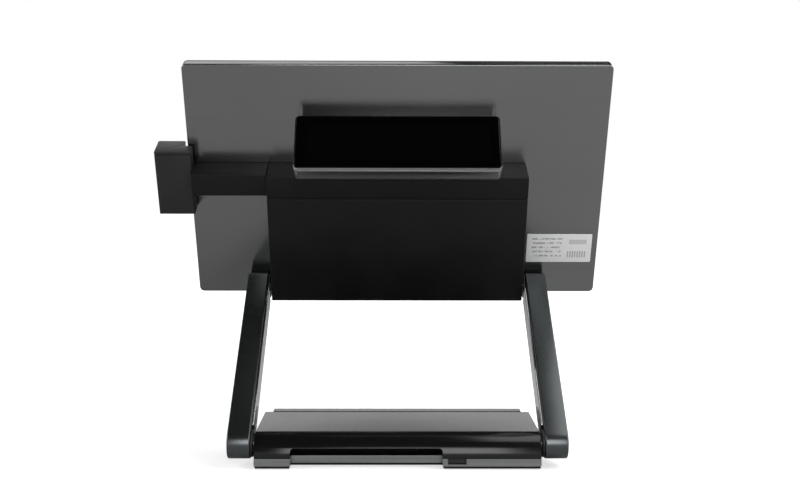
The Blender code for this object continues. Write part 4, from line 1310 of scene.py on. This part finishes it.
    def screws(self, head: Placement) -> None:
        """Screws in the board's corners and in each bracket's foot.

        Args:
            head: the leaning screen's frame.
        """
        low, high = head.extent("main_board")
        edge = self.board_screw
        for row, up in enumerate((low[1] + edge[1], high[1] - edge[0])):
            for column, across in enumerate((low[0] + edge[0], high[0] - edge[0])):
                spot = head.at(head.world(np.array([across, up, high[2] + self.seat])))
                screw(f"board_screw_{row}{column}", spot, self.body)
        for side in ("left", "right"):
            low, high = head.extent("screen_hinge_bracket_" + side)
            near, step = (high[0], -1) if abs(high[0]) < abs(low[0]) else (low[0], 1)
            for number, share in enumerate(self.bracket_shares):
                spot = np.array([near + step * self.bracket_screw, low[1] + share * (high[1] - low[1]),
                                 low[2] + self.bracket_foot])
                screw(f"bracket_screw_{side}_{number}", head.at(head.world(spot)), self.body)

    def board_parts(self, head: Placement) -> None:
        """Chips and can capacitors between the board's larger parts.

        Args:
            head: the leaning screen's frame.
        """
        low, high = head.extent("main_board")
        face = high[2] + self.seat
        span = high[:2] - low[:2]
        for number, (across, up, half, rise) in enumerate(self.chips):
            centre = low[:2] + np.array((across, up)) * span
            name = f"chip_{number}"
            outline = rounded(centre - half, centre + half, self.chip_corner, 3)
            piece(name, slab(outline, face, face + rise, self.chip_edge, 2), head,
                  Look.BLACK_PLASTIC.plain(name, head.turn), self.body)
        for number in range(self.cans):
            centre = low[:2] + np.array((self.can_row[0] + self.can_row[1] * number, self.can_row[2])) * span
            name = f"capacitor_{number}"
            piece(name, turned(self.can, steps=28), head.at(head.world(np.array((*centre, face)))),
                  Look.ALUMINIUM.plain(name), self.body)


# ---------------------------------------------------------------- card reader
@dataclass
class CardReader:
    """Side bar and stripe reader with its lid."""

    body: str = "screen"
    edge: float = 0.0006
    corner: float = 0.0014
    slot_back: float = 0.0022
    bar_corner: float = 0.0008
    level: float = 0.001

    def build(self, places: Places) -> None:
        """Make the bar, the reader's body and its lid.

        Args:
            places: the terminal's joints and frames.
        """
        head = places.head
        plate("side_bar", "reader_arm", head, Look.HOUSING, self.body, self.bar_corner,
              self.edge)
        upright = head.facing(head.up, -head.out)
        for node, name in (("reader_body", "reader_case"), ("reader_cap", "reader_lid")):
            low, high = upright.extent(node)
            piece(name, slab(self.outline(upright, low, high), low[2], high[2], self.edge), upright,
                  Look.READER.plain(name, head.turn), self.body, [node])
        dress("reader_head", Look.STEEL, head.turn)

    def outline(self, upright: Placement, low: np.ndarray, high: np.ndarray) -> np.ndarray:
        """The reader's plan: a block behind the screen edge and a wall beside it.

        Args:
            upright: frame with out along the panel's up direction.
            low: lowest measured corner.
            high: highest measured corner.

        Returns:
            Anticlockwise outline of (across, up) points.
        """
        local = (node_points("reader_body") - upright.origin) @ upright.axes.T
        slot_side = local[local[:, 1] > high[1] - self.level]
        step = upright.extent("screen_rear_shell")[0][1] - self.slot_back
        inner_is_low = abs(low[0]) < abs(high[0])
        wall = slot_side[:, 0].min() - self.edge if inner_is_low else slot_side[:, 0].max() + self.edge
        if inner_is_low:
            corners = [(low[0], low[1]), (high[0], low[1]), (high[0], high[1]), (wall, high[1]), (wall, step),
                       (low[0], step)]
        else:
            corners = [(low[0], low[1]), (high[0], low[1]), (high[0], step), (wall, step), (wall, high[1]),
                       (low[0], high[1])]
        return softened(corners, self.corner)


# ---------------------------------------------------------------- customer display
@dataclass
class CustomerDisplay:
    """Tilting display with a polished frame."""

    body: str = "customer_display"
    corner: float = 0.004
    bezel: float = 0.0009
    edge: float = 0.0009
    bead: float = 0.0005
    glass_edge: float = 0.0003
    picture: tuple[float, float] = (0.080, 0.019)

    def build(self, places: Places) -> None:
        """Make the case, frame, glass and hinge.

        Args:
            places: the terminal's joints and frames.
        """
        tilt = places.display
        plate("display_shell", "display_case", tilt, Look.CASE, self.body, self.corner,
              self.edge)
        low, high = tilt.extent("display_bezel")
        piece("display_frame", self.beaded(box_outline(low, high, self.corner), low[2], high[2]),
              tilt, Look.CHROME.plain("display_frame", tilt.turn), self.body, ["display_bezel"])
        low, high = tilt.extent("display_glass")
        finish = DarkGlass((0.0009, 0.0009, 0.0010), 0.03, specular=0.35, window=self.picture,
                           window_gain=1.6)
        spot = (0.0, 0.0, float(tilt.world((low + high) / 2) @ tilt.up))
        plate("display_pane", "display_glass", tilt, finish.material("display_pane", tilt.turn, spot),
              self.body, self.corner - self.bezel, self.glass_edge)
        dress("display_module", Look.FILM, tilt.turn)
        dress("display_board", Look.BOARD, tilt.turn)
        dress("display_knuckle", Look.CASE, tilt.turn)
        dress("display_bracket", Look.HOUSING, places.head.turn)
        dress("display_hinge_pin", Look.STEEL)

    def beaded(self, outline: np.ndarray, low: float, high: float) -> Surface:
        """The frame, whose outer side is two beads.

        At a share t of its depth that side is inset by bead (1 + cos 4 pi t) / 2.

        Args:
            outline: the frame's outer edge.
            low: its rear.
            high: its front.

        Returns:
            The closed band.
        """
        share = np.linspace(0, 1, 25)
        beads = self.bead * (1 + np.cos(4 * math.pi * share)) / 2
        insets = np.concatenate([beads, (self.bezel, self.bezel)])
        heights = np.concatenate([low + share * (high - low), (high, low)])
        return carried(outline, insets, heights, closed=True)


# ---------------------------------------------------------------- studio
@dataclass
class Studio:
    """Pale floor, white surroundings, soft lights and the camera."""

    position: tuple[float, float, float] = (0.00687, 1.04657, 0.25608)
    lens: float = 53.26
    pitch: float = math.radians(4.55)
    yaw: float = math.radians(-0.50)
    roll: float = math.radians(0.13)
    floor_radius: float = 9.0
    # The surroundings' light: overhead, on the viewer's side, and the direction's Z and Y
    # between which each sets in.
    overhead: float = 0.014
    behind: float = 0.42
    dome_low: float = 0.235
    dome_high: float = 0.30
    behind_low: float = -0.2
    behind_high: float = 0.3
    floor_mirrored: float = 0.52
    floor_seen: float = 0.92
    floor_top: float = -0.001
    floor_depth: float = 0.010
    floor_edge: float = 0.002
    # The floor's glow: two distances and the strength at each.
    glow: tuple[float, float, float, float] = (0.35, 1.0, 0.55, 1.0)
    target: tuple[float, float, float] = (0.0, 0.0, 0.15)
    sensor: float = 36.0
    # Each lamp: its name, its place, its side and its power in watts.
    lamps: tuple[tuple[str, tuple[float, float, float], float, float], ...] = (
        ("key", (-1.9, 0.9, 1.7), 1.2, 20.5), ("fill", (2.1, 0.5, 1.3), 1.4, 23.0),
        ("front", (0.5, -2.0, 1.9), 1.3, 6.0), ("top", (-0.78, -0.10, 1.15), 1.1, 8.0),
        ("rear", (-0.15, 2.2, 0.9), 1.2, 19.0))

    def build(self) -> None:
        """Make the floor, the surroundings, the lights and the camera."""
        bpy.context.scene.view_settings.view_transform = "Standard"
        self.camera()
        self.floor()
        self.surroundings()
        for name, spot, size, power in self.lamps:
            self.light(name, np.array(spot), size, power)

    def camera(self) -> None:
        """The camera: forward from pitch and yaw, then turned by the roll."""
        a, b, c = self.pitch, self.yaw, self.roll
        forward = np.array((math.sin(b) * math.cos(a), -math.cos(b) * math.cos(a), -math.sin(a)))
        right = np.cross(forward, Z)
        right /= np.linalg.norm(right)
        up = np.cross(right, forward)
        data = bpy.data.cameras.new("camera")
        data.lens = self.lens
        data.sensor_width = self.sensor
        bpy.context.scene.camera = self.aimed(data, right * math.cos(c) + up * math.sin(c), -forward,
                                              np.array(self.position))

    def aimed(self, data: bpy.types.ID, across: np.ndarray, out: np.ndarray, spot: np.ndarray
              ) -> bpy.types.Object:
        """An object whose X runs across and whose Z runs out, away from what it looks at.

        Args:
            data: the camera or lamp.
            across: its X direction.
            out: its Z direction.
            spot: where it stands.

        Returns:
            The new object.
        """
        item = bpy.data.objects.new(data.name, data)
        basis = np.eye(4)
        basis[:3] = np.stack([across, np.cross(out, across), out, spot], axis=-1)
        item.matrix_world = Matrix(basis.tolist())
        bpy.context.scene.collection.objects.link(item)
        return item

    def floor(self) -> None:
        """A round floor just under the base: white to look at, mid grey in reflections."""
        shading = Shading("floor")
        sight = Signal(shading, shading.node("ShaderNodeLightPath").outputs["Is Camera Ray"])
        length = shading.node("ShaderNodeVectorMath", {"operation": "LENGTH"}, {0: shading.place})
        distance = Signal(shading, length.outputs["Value"])
        shading.surface(Base_Color=shading.mix(rgba((self.floor_mirrored,) * 3), rgba((self.floor_seen,) * 3),
                                               sight),
                        Roughness=0.8, Emission_Color=sight * distance.ramp(*self.glow),
                        Emission_Strength=1.0)
        shading.shader.inputs["Specular IOR Level"].default_value = 0.0
        surface = slab(circle(self.floor_radius, 96), self.floor_top - self.floor_depth, self.floor_top,
                       self.floor_edge, 2)
        item = piece("floor", surface, Placement(np.zeros(3), Y, Z), shading.material)

    def surroundings(self) -> None:
        """White to look at; as light, bright low down beyond the terminal and dark overhead.

        The light's strength falls from 1 to overhead between two heights of the direction's
        Z, and on the viewer's side it is multiplied by behind.
        """
        world = bpy.data.worlds.new("studio")
        bpy.context.scene.world = world
        world.use_nodes = True
        graph = Graph(world.node_tree)
        direction = graph.node("ShaderNodeTexCoord").outputs["Generated"]
        split = graph.node("ShaderNodeSeparateXYZ", None, {"Vector": direction})
        height = Signal(graph, split.outputs[2]).ramp(self.dome_low, self.dome_high, 1.0, self.overhead)
        side = Signal(graph, split.outputs[1]).ramp(self.behind_low, self.behind_high, 1.0, self.behind)
        sight = Signal(graph, graph.node("ShaderNodeLightPath").outputs["Is Camera Ray"])
        background = graph.nodes["Background"].inputs
        graph.feed(background["Color"], (height * side).most(sight))
        background["Strength"].default_value = 1.0

    def light(self, name: str, spot: np.ndarray, size: float, power: float) -> None:
        """A square soft light that looks at the terminal's middle.

        Args:
            name: the lamp's name.
            spot: where it stands.
            size: its side.
            power: its power in watts.
        """
        data = bpy.data.lights.new(name, "AREA")
        data.energy = power
        data.size = size
        out = spot - np.array(self.target)
        out /= np.linalg.norm(out)
        across = np.cross(Z, out)
        self.aimed(data, across / np.linalg.norm(across), out, spot)


def main() -> None:
    """Load the working model, build the studio and every sub-assembly."""
    logging.basicConfig(level=logging.INFO, format="%(name)s: %(message)s")
    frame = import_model()
    Studio().build()
    places = Places.read(frame["record"])
    for assembly in (Base(), Arms(), Screen(), CardReader(), CustomerDisplay()):
        assembly.build(places)
        LOG.info("built %s", type(assembly).__name__)


if __name__ == "__main__":
    main()
